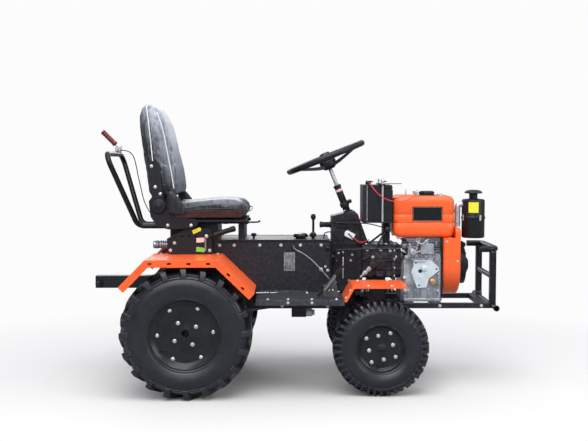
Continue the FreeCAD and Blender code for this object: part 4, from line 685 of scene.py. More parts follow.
def puffed(name, finish, node, voxel, cap):
    """Soft piece: an even mesh is blown out against its own cloth, held within a cap, and smoothed."""
    made = linked(name, taken(name))
    bpy.context.view_layer.objects.active = made
    even = made.modifiers.new("even", "REMESH")
    even.mode, even.voxel_size = "VOXEL", voxel
    ease = made.modifiers.new("ease", "SMOOTH")
    ease.factor, ease.iterations = 0.5, 6
    shape = settled(made)
    rest = [v.co.copy() for v in shape.vertices]
    cloth = made.modifiers.new("cloth", "CLOTH")
    settings = cloth.settings
    settings.use_pressure = True
    settings.uniform_pressure_force = CLOTH_PRESSURE
    settings.effector_weights.gravity = 0
    settings.quality = 5
    settings.tension_stiffness = settings.compression_stiffness = CLOTH_STIFFNESS
    cloth.collision_settings.use_collision = False
    scene = bpy.context.scene
    for step in range(1, CLOTH_FRAMES + 1):
        scene.frame_set(step)
    graph = bpy.context.evaluated_depsgraph_get()
    moved = [v.co.copy() for v in made.evaluated_get(graph).data.vertices]
    made.modifiers.clear()
    for vertex, before, after in zip(shape.vertices, rest, moved):
        shift = after - before
        if shift.length > cap * MM:
            shift = shift.normalized() * cap * MM
        vertex.co = before + shift
    scene.frame_set(1)
    soft = made.modifiers.new("soft", "SUBSURF")
    soft.levels = soft.render_levels = 1
    for polygon in shape.polygons:
        polygon.use_smooth = True
    shape.materials.clear()
    shape.materials.append(finish)
    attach(made, "chassis")
    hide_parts(node)


def seat():
    # cushion: side outline at stations across, fuller at the thighs
    sections = []
    for y, drop, pull in ((-222, 9, 9), (-216, 3, 4), (-196, 0, 0), (-150, -1, 0), (-100, 9, -2), (0, 12, -3),
                          (100, 9, -2), (150, -1, 0), (196, 0, 0), (216, 3, 4), (222, 9, 9)):
        outline = [(-588, 818), (-260, 818), (-226, 832), (-219 - pull, 852), (-226 - pull, 876), (-250, 893),
                   (-300, 901), (-370, 900), (-450, 892), (-520, 884), (-580, 886), (-594, 870), (-594, 830)]
        sections.append([(x, y, z if z < 840 else z - drop) for x, z in outline])
    skin(sections)
    puffed("seat_cushion_soft", CUSHION_VINYL, "seat_cushion", 0.006, 9)
    # lower side panel with its own colour, standing on the cushion's side
    for side in BOTH:
        plate([(-560, 822), (-262, 822), (-232, 836), (-226, 852), (-262, 858), (-350, 861), (-450, 858),
               (-540, 848), (-572, 838)], side * 219, side * 7.5)
    piece("seat_cushion_panel", PANEL_VINYL, "seat_vinyl", bevel=3.0, segments=3)
    for side in BOTH:
        line = [(-580, 225.5, 846), (-540, 226.5, 852), (-450, 227.5, 862), (-350, 227.5, 865), (-270, 226.5, 862),
                (-232, 222, 857), (-216, 200, 853), (-213, 150, 852), (-212.5, 0, 852)]
        tube(smooth_line([(x, side * y, z) for x, y, z in line], 8), 2.6)
    piece("seat_cushion_piping", DARK_VINYL, "seat_vinyl")
    # backrest: rounded rectangles at heights, leaning back; the middle of the front sits back from the wings
    corner, wing, hollow, lean = 26, 60, 10, 0.06
    sections = []
    for z, rear, front, half in ((918, -690, -556, 196), (960, -692, -560, 204), (1040, -703, -572, 208),
                                 (1120, -716, -591, 208), (1200, -726, -609, 206), (1270, -733, -628, 198),
                                 (1320, -738, -648, 182), (1350, -736, -667, 156), (1368, -728, -689, 120)):
        middle = (front + rear) / 2
        outline = rounded_rectangle((rear, front), (-half, half), corner, 4)
        sections.append([(x - (hollow if x > middle and abs(y) < half - wing else 0), y, z + (x - rear) * lean)
                         for x, y in outline])
    skin(sections)
    puffed("seat_back_soft", BACK_VINYL, "seat_back", 0.006, 9)
    rear_seam = [(-700, 150, 1362), (-702, 186, 1340), (-692, 206, 1275), (-682, 214, 1190), (-671, 217, 1080),
                 (-660, 215, 1000), (-648, 211, 935)]
    front_seam = [(-654, 196, 1322), (-631, 204, 1262), (-616, 209, 1200), (-601, 211, 1120), (-586, 211, 1040),
                  (-574, 207, 960)]
    for side in BOTH:
        for seam, radius in ((rear_seam, 2.4), (front_seam, 2.2)):
            tube(smooth_line([(x, side * y, z) for x, y, z in seam], 8), radius)
    piece("seat_back_piping", WHITE, "seat_vinyl")
    # hip pads, whose outline shrinks or grows about its middle from layer to layer
    cx, cz, reach = -562, 885, 55
    for side in BOTH:
        sections = []
        for y, grow in ((222, -9), (228, 0), (237, 2), (243, -7)):
            outline = [(-598, 846), (-560, 836), (-524, 838), (-512, 852), (-524, 884), (-552, 922), (-576, 947),
                       (-596, 948), (-604, 925), (-604, 870)]
            share = 1 + grow / reach
            sections.append([(cx + (x - cx) * share, side * y, cz + (z - cz) * share) for x, z in outline])
        skin(sections)
    puffed("seat_bolsters_soft", DARK_VINYL, "seat_bolsters", 0.004, 4)


seat()


# ---------------- tubes and sheet metal
def rear_handle():
    half_low = [(-600, 70, 773), (-768, 70, 773), (-893, 230, 1125)]
    tube(arc_line([(x, -y, z) for x, y, z in half_low] + half_low[::-1], 45), 13, 20)
    piece("rear_handle_tube", SATIN, "black_paint", replaces=("rear_handle",), angle=60)
    base, lean = Vector((-905, 120, 1173)), Vector((-1, 0, 1)).normalized()
    profile = [(8, 0), (13, 2), (14, 7)]
    for h in range(14, 86, 12):
        profile += [(13.6, h), (12.2, h + 3), (12.2, h + 8), (13.6, h + 11)]
    profile += [(14, 88), (12.5, 93), (8, 95)]
    lathe(profile, 28, base, lean)
    piece("handle_grip_sleeve", RED_GRIP, "red_grip", replaces=("handle_grip",), angle=50)
    lathe([(5.8, -32), (5.8, 2)], 16, base, lean)
    for y in (106, 131):
        box((-907, y, 1131), (-879, y + 3, 1160))
    box((-907, 106, 1137.5), (-879, 134, 1141))
    bolt((-893, 106, 1150), RIGHT, 5, 4)
    bolt((-893, 134, 1150), LEFT, 5, 4)
    lathe([(3.2, 0), (3.2, 26), (2.2, 28)], 12, (-884, 120, 1141), (0.3, 0, 1))
    piece("handle_grip_bracket", STEEL, "bare_steel", bevel=0.6)


def front_guard():
    back, front, half, post = 892, 972, 170, 955
    tube(arc_line([(back, -half, 667), (front, -half, 667), (front, half, 667), (back, half, 667)], 40), 15, 24)
    tube([(post, -156, 534), (post, 156, 534)], 13, 24)
    tube([(post, -271, 394), (post, 271, 394)], 12, 32)
    piece("front_guard_tubes", SATIN, "black_paint", replaces=("front_guard",), bevel=0.8, angle=50)
    for side in BOTH:
        box((post - 15, side * half - 15, 382), (post + 15, side * half + 15, 656))
    piece("front_guard_posts", SATIN, "black_paint", bevel=2.4, segments=3)
    for side in BOTH:
        lathe([(19, 0), (15.6, 4), (15.2, 7)], 28, (post, side * half, 652), HIGH)
        for z in (534, 406):
            lathe([(16.5, 0), (13.6, 3.5)], 28, (post, side * 155, z), (0, -side, 0))
        lathe([(12.2, 0), (14.5, 0.5), (14.5, 5), (12.8, 6)], 32, (post, side * 265, 394), (0, side, 0))
    piece("front_guard_welds", CAST, "black_paint", angle=60)


rear_handle()
front_guard()

# paint and metal of the CAD nodes that stay
dress(BLACK, 1.2, "frame_rail_left", "frame_rail_right", "hitch_beam", "seat_frame", "rear_axle", "front_axle",
      "frame_crossmembers", "pitman_arm", "knuckle_left", "knuckle_right", "lift_quadrant", "battery_carrier")
dress(BLACK, 1.6, "body_box", "seat_pedestal")
dress(ORANGE, 1.3, "rear_fender_left", "rear_fender_right", "front_fender_left", "front_fender_right")
dress(BOARD, 0.9, "footboard_left", "footboard_right")
dress(CAST, 2.0, "steering_pillar", "hydraulic_pump")
dress(CAST, 2.2, "gearbox")
dress(CAST, 1.0, "muffler")
dress(ALUMINIUM, 1.4, "engine_block")
dress(STEEL, 0.8, "engine_fittings", "steering_shaft")
dress(GREY_STEEL, 1.0, "drive_shaft", "tie_rod")
dress(GREY_STEEL, 0.8, "foot_pedals")
dress(PLASTIC, 0.8, "control_levers")
dress(PLASTIC, 2.5, "battery")
dress(PLASTIC, 1.2, "tank_cap")


# ---------------- power unit
def fan_shroud():
    """Fan housing with a rolled front edge, and the recoil starter with its slots and pull cord."""
    low, high = span("fan_shroud")
    radius = (high.y - low.y) / 2
    crank = low.z + radius
    corner, corner_height, bolt_ring = 24, 744, 113
    outline = [(y, crank - z) for y, z in (spoke(radius, 180 * k / 48) for k in range(49))]
    for cy, first in ((corner - radius, 180), (radius - corner, 90)):
        for k in range(9):
            y, z = spoke(corner, first - 90 * k / 8)
            outline.append((cy + y, corner_height + z))
    skin([[(x, y, z) for y, z in outline] for x in (low.x, high.x - 0.2)])
    shroud = piece("fan_shroud_skin", ORANGE, "orange_paint", replaces=("fan_shroud",), bevel=13, segments=6,
                   angle=30)
    # room for the tank is cut out of the housing's top
    box((low.x - 5, -150, 717), (781, 150, 790))
    cutter = linked("tank_space", taken("tank_space"))
    cut = shroud.modifiers.new("tank_space", "BOOLEAN")
    cut.operation, cut.object, cut.solver = "DIFFERENCE", cutter, "EXACT"
    bpy.context.view_layer.update()
    settled(shroud)
    bpy.data.objects.remove(cutter)
    for a in (200, 235, 270, 305, 340):
        y, z = spoke(bolt_ring, a)
        bolt((high.x - 0.4, y, crank + z), FORE, 4.4, 3.5)
    for x, z in ((738, 700), (790, 604)):
        for side in BOTH:
            side_bolts(side, ((x, z),), radius, 4.6, 3.6)
    piece("fan_shroud_bolts", ZINC, "bare_steel", bevel=0.3)

    # recoil starter's cover: domed ring, ribs, two hoops and the cord's outlet
    centre = Vector((high.x + 0.2, 0, crank))
    lathe([(95, 0), (95, 30), (93.5, 33.5), (89, 36.5), (84, 37.5), (82, 36), (80.5, 22), (36, 22), (34, 50),
           (32, 54), (27, 57.4), (6, 57.8)], 96, centre, FORE)
    ribs(24, centre, "X", (20, -1.6, 33), (36, 1.6, 81.5))
    for radius in (50, 66):
        lathe([(radius - 1.5, 21), (radius + 1.5, 21), (radius + 1.5, 37), (radius - 1.5, 37)], 72, centre, FORE,
              closed=True)
    box((high.x + 0.2, -20, crank + 83), (846, 20, crank + 111))
    piece("recoil_cover", PLASTIC, "black_paint", replaces=("recoil_starter",), bevel=0.8, angle=32)
    # its handle, cord and bolts
    lathe([(3, 0), (9, 1), (10, 4), (8, 8), (3, 9)], 20, (846, 0, crank + 98), FORE)
    tube([(826, -20, crank + 97), (826, -34, crank + 97)], 2.2)
    tube([(826, -34, crank + 75), (826, -34, crank + 119)], 7.5, 18, taper=lambda t: 0.8 + 0.4 * abs(t - 0.5))
    for k in range(6):
        y, z = spoke(88, 60 * k + 17.189)
        bolt((842, y, crank + z), FORE, 4.0, 4)
    piece("recoil_handle", GLOSSY, "black_plastic", bevel=0.4)


def fuel_tank():
    """Pressed tank in two halves, with a folded seam, two swages and generous corners."""
    low, high = span("fuel_tank")
    rings = []
    for z, inset in ((low.z, 24), (low.z + 2, 16), (low.z + 7, 9), (low.z + 14, 4), (low.z + 24, 1.2), (752, 0.3),
                     (787, 0), (788.5, 1.0), (790, 2.2), (791.5, 1.0), (793, 0), (829, 0), (830.5, 1.0), (832, 2.2),
                     (833.5, 1.0), (835, 0), (high.z - 34, 0.3), (high.z - 24, 1.5), (high.z - 14, 5),
                     (high.z - 6, 11), (high.z - 1.5, 19), (high.z, 30)):
        outline = rounded_rectangle((low.x + inset, high.x - inset), (low.y + inset, high.y - inset),
                                    max(34 - inset * 0.5, 14), 10)
        rings.append([(x, y, z) for x, y in outline])
    skin(rings)
    piece("fuel_tank_shell", ORANGE, "orange_paint", replaces=("fuel_tank",), angle=60)
    cap = (653, -30, high.z)
    lathe([(44, -0.5), (45, 1.5), (43, 3.5), (36, 4.5), (35.5, 6)], 48, cap, HIGH)
    lathe([(35, 5), (36.5, 7), (36.5, 17), (34, 20.5), (27, 22.2), (26, 20.8), (2, 20.8)], 60, cap, HIGH)
    ribs(30, cap, "Z", (35.8, -1.5, 7.5), (38.2, 1.5, 17))
    piece("tank_cap_detail", PLASTIC, "black_plastic", bevel=0.5, angle=40)
    # blank plate on the near side, framed by a thin line
    box((571, low.y - 1.4, 799), (717, low.y + 1.5, 870))
    piece("tank_plate", GLOSSY, "black_plastic", bevel=0.9)
    thin_frame((574, 802), (714, 867), 1.2, low.y - 1.8, low.y - 1.2)
    piece("tank_plate_line", GREY_TRIM, "bare_steel")
    # brackets under the tank, the lead's fitting and the pin beside it
    strap = 112
    for x in (505, 757):
        for side in BOTH:
            box((x - 9, side * strap - 7, 714), (x + 9, side * strap + 7, 719.5))
            bolt((x, side * strap, 714.5), (0, 0, -1), 4.5, 4)
    bolt((590, -92, 921), HIGH, 9, 5)
    lathe([(3.2, 0), (3.2, 26), (1.5, 30)], 12, (546, -70, 921), HIGH)
    piece("tank_hardware", STEEL, "bare_steel", bevel=0.4)


def air_cleaner():
    x, y, r = 879, -60, 56
    lathe([(r - 7, 714), (r - 2, 715.5), (r, 720), (r, 803), (r + 1, 806), (r + 3, 808), (r + 3, 811),
           (r + 1.6, 812.2), (r + 3, 813.4), (r + 3, 817), (r + 1, 819), (r, 822), (r, 896), (r - 2, 901),
           (r - 8, 904), (24, 906), (20.5, 908), (20.5, 929), (24, 931), (42, 932), (44, 934), (42, 940), (34, 946),
           (20, 949.2), (3, 949.8)], 72, (x, y, 0), HIGH)
    piece("air_cleaner_body", PLASTIC, "black_plastic", replaces=("air_cleaner",), angle=30)
    # clips, each of two hooks and a strap, and the bent pipe with its hoops
    clip = r + 4.4
    for a in (205, 25, 295):
        turn = turned((x, y, 0), a, "Z")
        box((r, -5, 800), (clip, 5, 803), turn)
        box((clip - 1.6, -5, 800), (clip, 5, 828), turn)
        box((r - 0.4, -5, 826), (clip, 5, 828), turn)
    pipe_x = (779 + x - r) / 2
    tube(arc_line([(x - r + 2, y, 878), (pipe_x, y, 878), (pipe_x, y, 768.5)], 16), 14, 24)
    for z in (790, 846):
        lathe([(14.4, -6), (15.6, -5), (15.6, 5), (14.4, 6)], 32, (pipe_x, y, z), HIGH)
    piece("air_cleaner_pipe", STEEL, "bare_steel", bevel=0.3, angle=50)
    # blank label wrapped on the near side
    outer, inner = ([spoke(radius, -124 + 50 * k / 12) for k in range(13)] for radius in (r + 0.7, r + 0.1))
    skin([[(x + along, y + across, z) for along, across in outer + inner[::-1]] for z in (839, 890)])
    piece("air_cleaner_label", YELLOW, "black_plastic", angle=60)


def battery():
    low, high = span("battery")
    # lip of the lid, terminal cover and cell caps
    box((low.x - 0.5, low.y - 1.0, high.z - 30), (high.x + 0.5, high.y + 1.0, high.z - 26.5))
    box((low.x + 8, low.y + 26, high.z - 2), (low.x + 34, high.y - 12, high.z + 3))
    for k in range(6):
        lathe([(9, -1), (9, 3), (7.5, 4.5)], 24, (low.x + 90, low.y + 22 + k * 27, high.z), HIGH)
    piece("battery_lid", PLASTIC, "black_plastic", bevel=0.7)
    box((low.x - 0.6, low.y - 1.6, 800), (low.x + 4.5, low.y + 6, 970))
    piece("battery_side_strip", GREY_TRIM, "grey_steel", bevel=1.2)
    # hold-down rods, with a nut and a wing nut on the near one
    rod_x, near, far = 426, -128, 84
    for y, top in ((near, 1003), (far, 1001)):
        tube([(rod_x, y, 789), (rod_x, y, top)], 4.7, 16)
    lathe([(8, 0), (8, 2), (7, 2.5), (7, 9), (5, 10)], 6, (rod_x, near, 979), HIGH)
    lathe([(6.5, 0), (9, 3), (6, 18), (2, 24)], 20, (rod_x, near, 989), HIGH)
    piece("battery_clamp_rods", STEEL, "bare_steel", bevel=0.3, angle=50)
    # arms over the top, and the two posts
    box((405, -116, 979), (520, -98, 982))
    box((412, -112, 974), (440, 78, 979.5))
    for y in (-100, 50):
        lathe([(8, 0), (8, 10), (7, 13)], 24, (365, y, 973), HIGH)
    piece("battery_clamp_plate", BLACK, "black_paint", bevel=0.7)


fan_shroud()
fuel_tank()
air_cleaner()
battery()


# ---------------- fittings and trim
def body_details():
    low, high = span("body_box")
    face, board_edge, board_flat, rail, flat = 150, 430, 404, 185, 457
    near = -face
    lid_row = [((x, 684), 6.2, 4.5) for x in (-362, -292, -168, -66, 28, 128)]
    end_rows = [((x, z), 5.2, 4) for x in (-346, 148) for z in (485, 580)]
    for place, size, height in lid_row + end_rows:
        for side in BOTH:
            side_bolts(side, (place,), face, size, height)
    for side in BOTH:
        side_bolts(side, ((-32, 445), (77, 445)), board_edge, 5.4, 4.5)
        top_bolts([(x, side * board_flat) for x in (-125, -32, 77, 190)], flat, 6, 5)
        top_bolts([(x, side * rail) for x in (-140, 60, 190)], flat, 6, 5)
        side_bolts(side, ((-560, 560), (-430, 560)), face, 6.2, 5)
        side_bolts(side, [(x, 394) for x in (-660, -480, -290, -60, 160, 420, 700, 900)], rail, 6.4, 5)
    bolt((128, near, 566), RIGHT, 7, 6)
    bolt((160, near, 562), RIGHT, 6, 5)
    piece("body_bolts", ZINC, "bare_steel", bevel=0.4)
    # angle between the box and each footboard
    for y in (-149.5, 143):
        box((low.x + 6, y, 455), (high.x - 6, y + 6.5, low.z + 1))
    piece("body_sills", BOARD, "grey_board", bevel=0.5)
    # blank plate with four rivets, and the line round it
    box((-52, near - 0.9, 560), (2, near + 0.5, 650))
    for x in (-47, -3):
        for z in (565, 645):
            bolt((x, near - 0.8, z), RIGHT, 1.8, 1.2, washer=False, dome=True)
    piece("body_blank_plate", GREY_STEEL, "grey_steel", bevel=0.3)
    thin_frame((-49, 563), (-1, 647), 0.8, near - 1.3, near - 0.7)
    piece("body_plate_line", ZINC, "bare_steel")
    # folded lid, its rolled edge, the filler's ring and the grommet of the side cable
    for y0, y1 in ((-148, -145.1), (145, 151.4)):
        box((low.x + 1, y0, 698.2), (high.x - 1, y1, 710.8))
    for y in (-149, 149):
        tube([(low.x + 1, y, 709.5), (high.x - 1, y, 709.5)], 2.6)
    lathe([(3.4, -2), (10.5, -1), (11, 2), (8.5, 4.5), (3.6, 5.5)], 28, (-5, near, 672), RIGHT)
    filler = (30, -60, 710)
    lathe([(33, 6), (34, 9), (34, 19), (31, 24), (24, 26.4), (6, 26.8)], 48, filler, HIGH)
    ribs(24, filler, "Z", (33.4, -1.6, 9), (35.4, 1.6, 19))
    piece("body_trim", GLOSSY, "black_plastic", bevel=0.4)
    # clamp where the side cable crosses the box's front corner
    lathe([(3.3, -13), (4.4, -12), (4.4, 12), (3.3, 13)], 16, (127, -187.5, 569), (0.62, 0.26, -0.72))
    piece("side_cable_ferrule", STEEL, "bare_steel")
    # nose and rear cap of the hydraulic pump
    lathe([(10, -1), (17, 0), (17, 6), (14, 8), (14, 18), (12, 20), (12, 22)], 8, (75, -160, 359), FORE)
    lathe([(18.3, 70), (19, 72), (19, 96), (17, 98), (12, 101.4)], 32, (-15, -160, 359), FORE)
    piece("pump_nose", GALVANISED, "grey_steel", bevel=0.6)


def fender_details():
    slant = (-0.868, 0, 0.496)
    for side in BOTH:
        y = side * 409
        for x in (335, 443):
            bolt((x, y, 520), HIGH, 5.4, 4.5)
            lathe([(2.6, 0), (2.6, 24)], 12, (x, y, 497), HIGH)
        for x, z in ((234, 466), (254, 500)):
            bolt((x, y, z), slant, 5.0, 4.5)
        top_bolts([(x, side * 215) for x in (300, 440)], 520, 5.4, 4.5)
        top_bolts([(x, side * 175) for x in (-640, -370)], 645, 6, 5)
    piece("fender_bolts", ZINC, "bare_steel", bevel=0.4)
    # rolled beads along the outer edges of the flats
    for side in BOTH:
        tube([(-678, side * 467.6, 643.0), (-346, side * 467.6, 643.0)], 2.2, 8)
    piece("fender_bead", ORANGE, "orange_paint")


def seat_details():
    for side in BOTH:
        plate_face, hinge = side * 214.6, (-645, side * 219.5, 877)
        plate([(-692, 900), (-676, 922), (-646, 926), (-622, 908), (-616, 874), (-590, 842), (-545, 822),
               (-470, 815), (-458, 800), (-466, 780), (-520, 770), (-600, 766), (-652, 780), (-684, 826)],
              plate_face, side * 8.0)
        lathe([(36, 0), (36, 8), (33, 13), (24, 15.5), (8, 16.2)], 48, hinge, (0, side, 0))
        lathe([(13, 15), (12, 17.5), (9, 18.6)], 24, hinge, (0, side, 0))
        plate([(-676, 905), (-622, 905), (-640, 990), (-652, 1075), (-664, 1092), (-682, 1092), (-694, 1075),
               (-684, 985)], plate_face, side * 6.5)
    piece("seat_hinge_covers", PLASTIC, "black_plastic", bevel=2.6, segments=3)
    for side in BOTH:
        side_bolts(side, ((-678, 1066), (-661, 968), (-637, 935)), 221.1, 6.2, 4, dome=True)
        side_bolts(side, ((-603, 786), (-492, 786)), 222.6, 6.2, 4, dome=True)
    piece("seat_bolts", ZINC, "bare_steel")
    # slide rails, their stops and the slide's handle
    for y in (-125, 125):
        box((-640, y - 19, 788.2), (-232, y + 19, 794))
        box((-236, y - 22, 786), (-226, y + 22, 799))
    tube(smooth_line([(-330, -160, 800), (-260, -160, 797), (-200, -160, 797), (-172, -160, 799), (-168, -160, 806)],
                     5), 4.2, 12)
    box((-344, -168, 788.2), (-322, -152, 801.8))
    piece("seat_slides", SATIN, "black_paint", bevel=0.8)
    for k in range(5):
        for side in BOTH:
            lathe([(9, 0), (10.5, 4), (7, 8), (10.5, 12), (9, 16)], 18, (-610 + k * 80, side * 80, 786), HIGH)
    piece("seat_springs", GREY_STEEL, "bare_steel", angle=60)


QUADRANT_FACE = -200.2


def tag(name, centre, size, turn, finish):
    """Blank tag with clipped corners, on a face that looks to the right."""
    w, h = size[0] / 2, size[1] / 2
    c, s = spoke(1, turn)
    outline = [(-w, -h), (w - 5, -h), (w, 0), (w - 5, h), (-w, h)]
    plate([(centre[0] + x * c - z * s, centre[1] + x * s + z * c) for x, z in outline], QUADRANT_FACE, -1.0)
    piece(name, finish, "grey_steel", bevel=0.3)


def quadrant_details():
    tag("quadrant_tag_high", (-467, 760), (44, 19), 24, YELLOW)
    tag("quadrant_tag_middle", (-449, 714), (41, 22), 4, PINK)
    tag("quadrant_tag_low", (-449, 668), (43, 22), -6, GREEN)
    for x, z in ((-574, 700), (-594, 664), (-406, 664)):
        bolt((x, -200, z), RIGHT, 6.4, 5)
    bolt((-420, -218, 733), RIGHT, 7, 5)
    piece("quadrant_bolts", ZINC, "bare_steel", bevel=0.4)
    # return spring from the lever to the plate
    coil((-424, -206, 728), (-426, -206, 664), 180, 12, 4.2)
    piece("quadrant_spring", STEEL, "bare_steel", angle=80)
    start, end = Vector((-386, -213, 739)), Vector((-284, -218, 771))
    length = (end - start).length
    lathe([(9, -6), (13.2, -2), (13.6, 8), (12.6, 20), (12.6, length - 26), (14.4, length - 10), (13.2, length - 1),
           (8, length + 2.5)], 28, start, end - start)
    piece("lift_lever_grip", PLASTIC, "black_plastic", angle=60)
    # coupling behind the pedestal
    lathe([(15, 0), (15, 22), (18, 24), (18, 66), (19.5, 68), (19.5, 92), (17, 95), (9, 96.5)], 36,
          (-600.2, -52, 680), AFT)
    for k in range(3):
        lathe([(19.4, 0), (20.4, 1), (20.4, 4), (19.4, 5)], 36, (-632 - 11 * k, -52, 680), AFT)
    piece("rear_coupling", STEEL, "bare_steel", bevel=0.5, angle=40)
    # washers of the hitch pin, and the hitch beam's bolts
    for side in BOTH:
        lathe([(10.2, 0), (17, 0.4), (17, 3.4), (10.4, 4)], 32, (-968, side * 39.4, 486), (0, side, 0))
    for z in (472, 510):
        for side in BOTH:
            side_bolts(side, ((-820, z),), 25, 7, 6)
    piece("hitch_washers", SATIN, "black_paint", bevel=0.4)


def pillar_details():
    near = -60
    turn = turned((272, 0, 728), 28, "Y")
    box((-23, near - 20, -15), (23, near - 0.2, 15), turn)
    box((-27, near - 14, -10), (-22, near - 4, 10), turn)
    piece("relay_block", WHITE, "bare_steel", bevel=1.6)
    lathe([(17.2, -6), (17.9, -5.5), (17.9, 5.5), (17.2, 6)], 40, WHEEL - UP * 176, UP)
    piece("column_band", PINK, "grey_steel")
    # collars of the column, key switch, horn button and plates of the pillar
    lathe([(10.2, -1), (19, 0), (19.4, 3), (19.4, 10), (17.4, 12)], 40, WHEEL - UP * 160, UP)
    lathe([(17.3, 0), (17.6, 1), (17.6, 130), (17.3, 131)], 40, WHEEL - UP * 296, UP)
    lathe([(24, 0), (26, 2), (26, 16), (22, 20)], 40, WHEEL - UP * 306, UP)
    lathe([(4.5, 0), (4.5, 26), (8.5, 28), (10, 34), (9, 42), (5, 45)], 20, (240, 0, 893), (1, 0, -0.06))
    lathe([(16, 0), (16, 8), (13, 10), (13, 44), (15, 46), (15, 56), (10, 58)], 28, (182, -34, 777), AFT)
    lathe([(9, 0), (11, 3), (11, 22), (7, 25)], 24, (182, 24, 770), AFT)
    box((196, near - 9, 700), (246, near - 0.2, 752))
    box((288, near - 7, 752), (318, near - 0.2, 796))
    box((205, near - 12, 764), (262, near - 0.2, 812))
    piece("column_switchgear", PLASTIC, "black_plastic", bevel=1.4, angle=40)
    # control rods and pipes that run down the pillar's right side, clipped to it
    for route, radius in (
            ([(144, -66, 709), (149, -67, 736), (178, -70, 742), (208, -74, 718), (226, -76, 690), (232, -78, 650),
              (236, -80, 600)], 3.0),
            ([(208, -72, 792), (238, -76, 786), (300, -74, 780), (322, -66, 752), (328, -62, 700)], 2.6),
            ([(196, -70, 728), (182, -76, 690), (190, -78, 640), (212, -78, 600), (226, -76, 560)], 3.4),
            ([(264, -82, 736), (286, -84, 712), (300, -82, 690), (322, -78, 684), (352, -78, 684)], 2.6),
            ([(238, -64, 812), (262, -70, 806), (290, -68, 806), (312, -62, 790)], 2.4)):
        tube(smooth_line(route), radius)
    piece("pillar_pipes", SATIN, "cable_black", angle=60)
    for route in ([(360, -72, 966), (352, -74, 950), (346, -72, 900), (338, -68, 850), (328, -64, 800)],
                  [(290, -78, 718), (306, -80, 700), (330, -78, 692), (352, -74, 698), (368, -70, 706)]):
        tube(smooth_line(route), 2.4)
    piece("pillar_wires", RED_CABLE, "cable_red", angle=60)
    # control rod to the shift lever, rod round the selectors, and the knob at the box's front edge
    for route, radius in (
            ([(150, -49, 783), (180, -72, 790), (240, -86, 788), (345, -92, 786), (400, -96, 776), (440, -99, 764)],
             2.6),
            ([(196, -50, 590), (195, -84, 604), (196, -96, 640), (210, -106, 656), (300, -119, 661),
              (345, -122, 663)], 4.2)):
        tube(smooth_line(route), radius)
    lathe([(4, 0), (5, 3), (9.5, 5), (11, 10), (9, 15), (3, 17)], 24, (160, -149.5, 670), RIGHT)
    piece("selector_rods", SATIN, "black_paint", angle=60)
    # joints that close the pillar to the body box and to the gearbox
    box((304, -50, 478), (336, 50, 676))
    box((167, -56, 472), (185, 56, 698))
    piece("pillar_joints", CAST, "black_paint", bevel=1.2)
    for x, z in ((204, 742), (240, 708), (296, 790), (312, 762), (216, 806), (252, 770), (210, 600), (278, 600),
                 (217, 636), (238, 641), (286, 628), (192, 622), (216, 540), (270, 500)):
        bolt((x, near + (0 if z > 690 else 8), z), RIGHT, 4.6, 4)
    for x, z in ((248, 846), (290, 846), (330, 686)):
        bolt((x, -50, z), HIGH, 4.4, 4)
    lathe([(2.4, 0), (2.4, 104), (1.6, 106)], 10, (238, -84, 516), HIGH)
    lathe([(4.4, 40), (5.2, 42), (5.2, 52), (4.4, 54)], 6, (238, -84, 516), HIGH)
    piece("pillar_bolts", ZINC, "bare_steel", bevel=0.3)


def gearbox_details():
    near = -117
    # selector plates, covers and bosses on both sides
    for side in BOTH:
        y = side * 110
        box((346, y - 4, 616), (500, y + 4, 668))
        for x0, x1 in ((352, 382), (396, 432), (446, 482)):
            box((x0, y - 3, 528), (x1, y + 3, 556))
        lathe([(26, 0), (26, 5), (23, 8), (10, 9)], 36, (418, side * 111, 586), (0, side, 0))
        tube([(336, side * 118, 664), (516, side * 118, 664)], 5.0, 12)
    box((340, -96, 679.6), (500, 96, 684))
    lathe([(18, 0), (18, 6), (15, 8), (15, 26), (17, 28), (17, 34), (9, 36)], 28, (380, near, 588), RIGHT)
    box((336, -60, 684), (364, 40, 700))
    piece("gearbox_covers", CAST, "black_paint", bevel=1.6, angle=40)
    for side in BOTH:
        side_bolts(side, ((338, 613), (381, 623), (466, 655), (354, 660), (420, 660), (492, 624)), 114.5, 6.2, 5)
        for z in (532, 570, 612, 655):
            bolt((484, side * 119, z), FORE, 5.6, 5)
    top_bolts([(x, y) for x in (352, 400, 448, 490) for y in (-84, 84)], 684, 5.4, 4.5)
    piece("gearbox_bolts", ZINC, "bare_steel", bevel=0.4)
    # union of two banjo fittings, on a short slanting pipe
    along = Vector((0.72, 0, 0.69)).normalized()
    start = Vector((352, near - 9, 556))
    for shift in (-26, 2):
        lathe([(4, 0), (9.5, 0.5), (9.5, 7), (12, 8), (12, 19), (9.5, 20), (9.5, 24), (5, 25)], 24,
              start + along * shift, along)
    lathe([(4.6, -44), (4.6, 44)], 16, start, along)
    for shift in (-10, 16):
        bolt(start + along * shift + Vector((0, -8, 0)), RIGHT, 7, 6)
    piece("gearbox_unions", STEEL, "bare_steel", bevel=0.5)
    tube(smooth_line([(338, -124, 613), (362, -124, 628), (388, -122, 654), (404, -116, 684), (424, -108, 716),
                      (447, -101, 748)]), 4.6, 12)
    lathe([(9, -17), (14, -12), (17.5, -3), (17.5, 4), (14, 12), (8, 16.5), (1, 17.6)], 32, (452, -100, 757),
          (0.2, -0.1, 1))
    lathe([(7, 0), (8.5, 1), (8.5, 12), (6, 14)], 20, (338, near, 613), RIGHT)
    piece("shift_lever_skin", SATIN, "black_plastic", angle=60)


# bosses of the crankcase's sides: x, z and radius
BOSSES = ((546, 622, 11), (590, 628, 9), (640, 626, 10), (682, 622, 12), (536, 520, 10), (540, 456, 12),
          (700, 456, 10), (700, 540, 9))


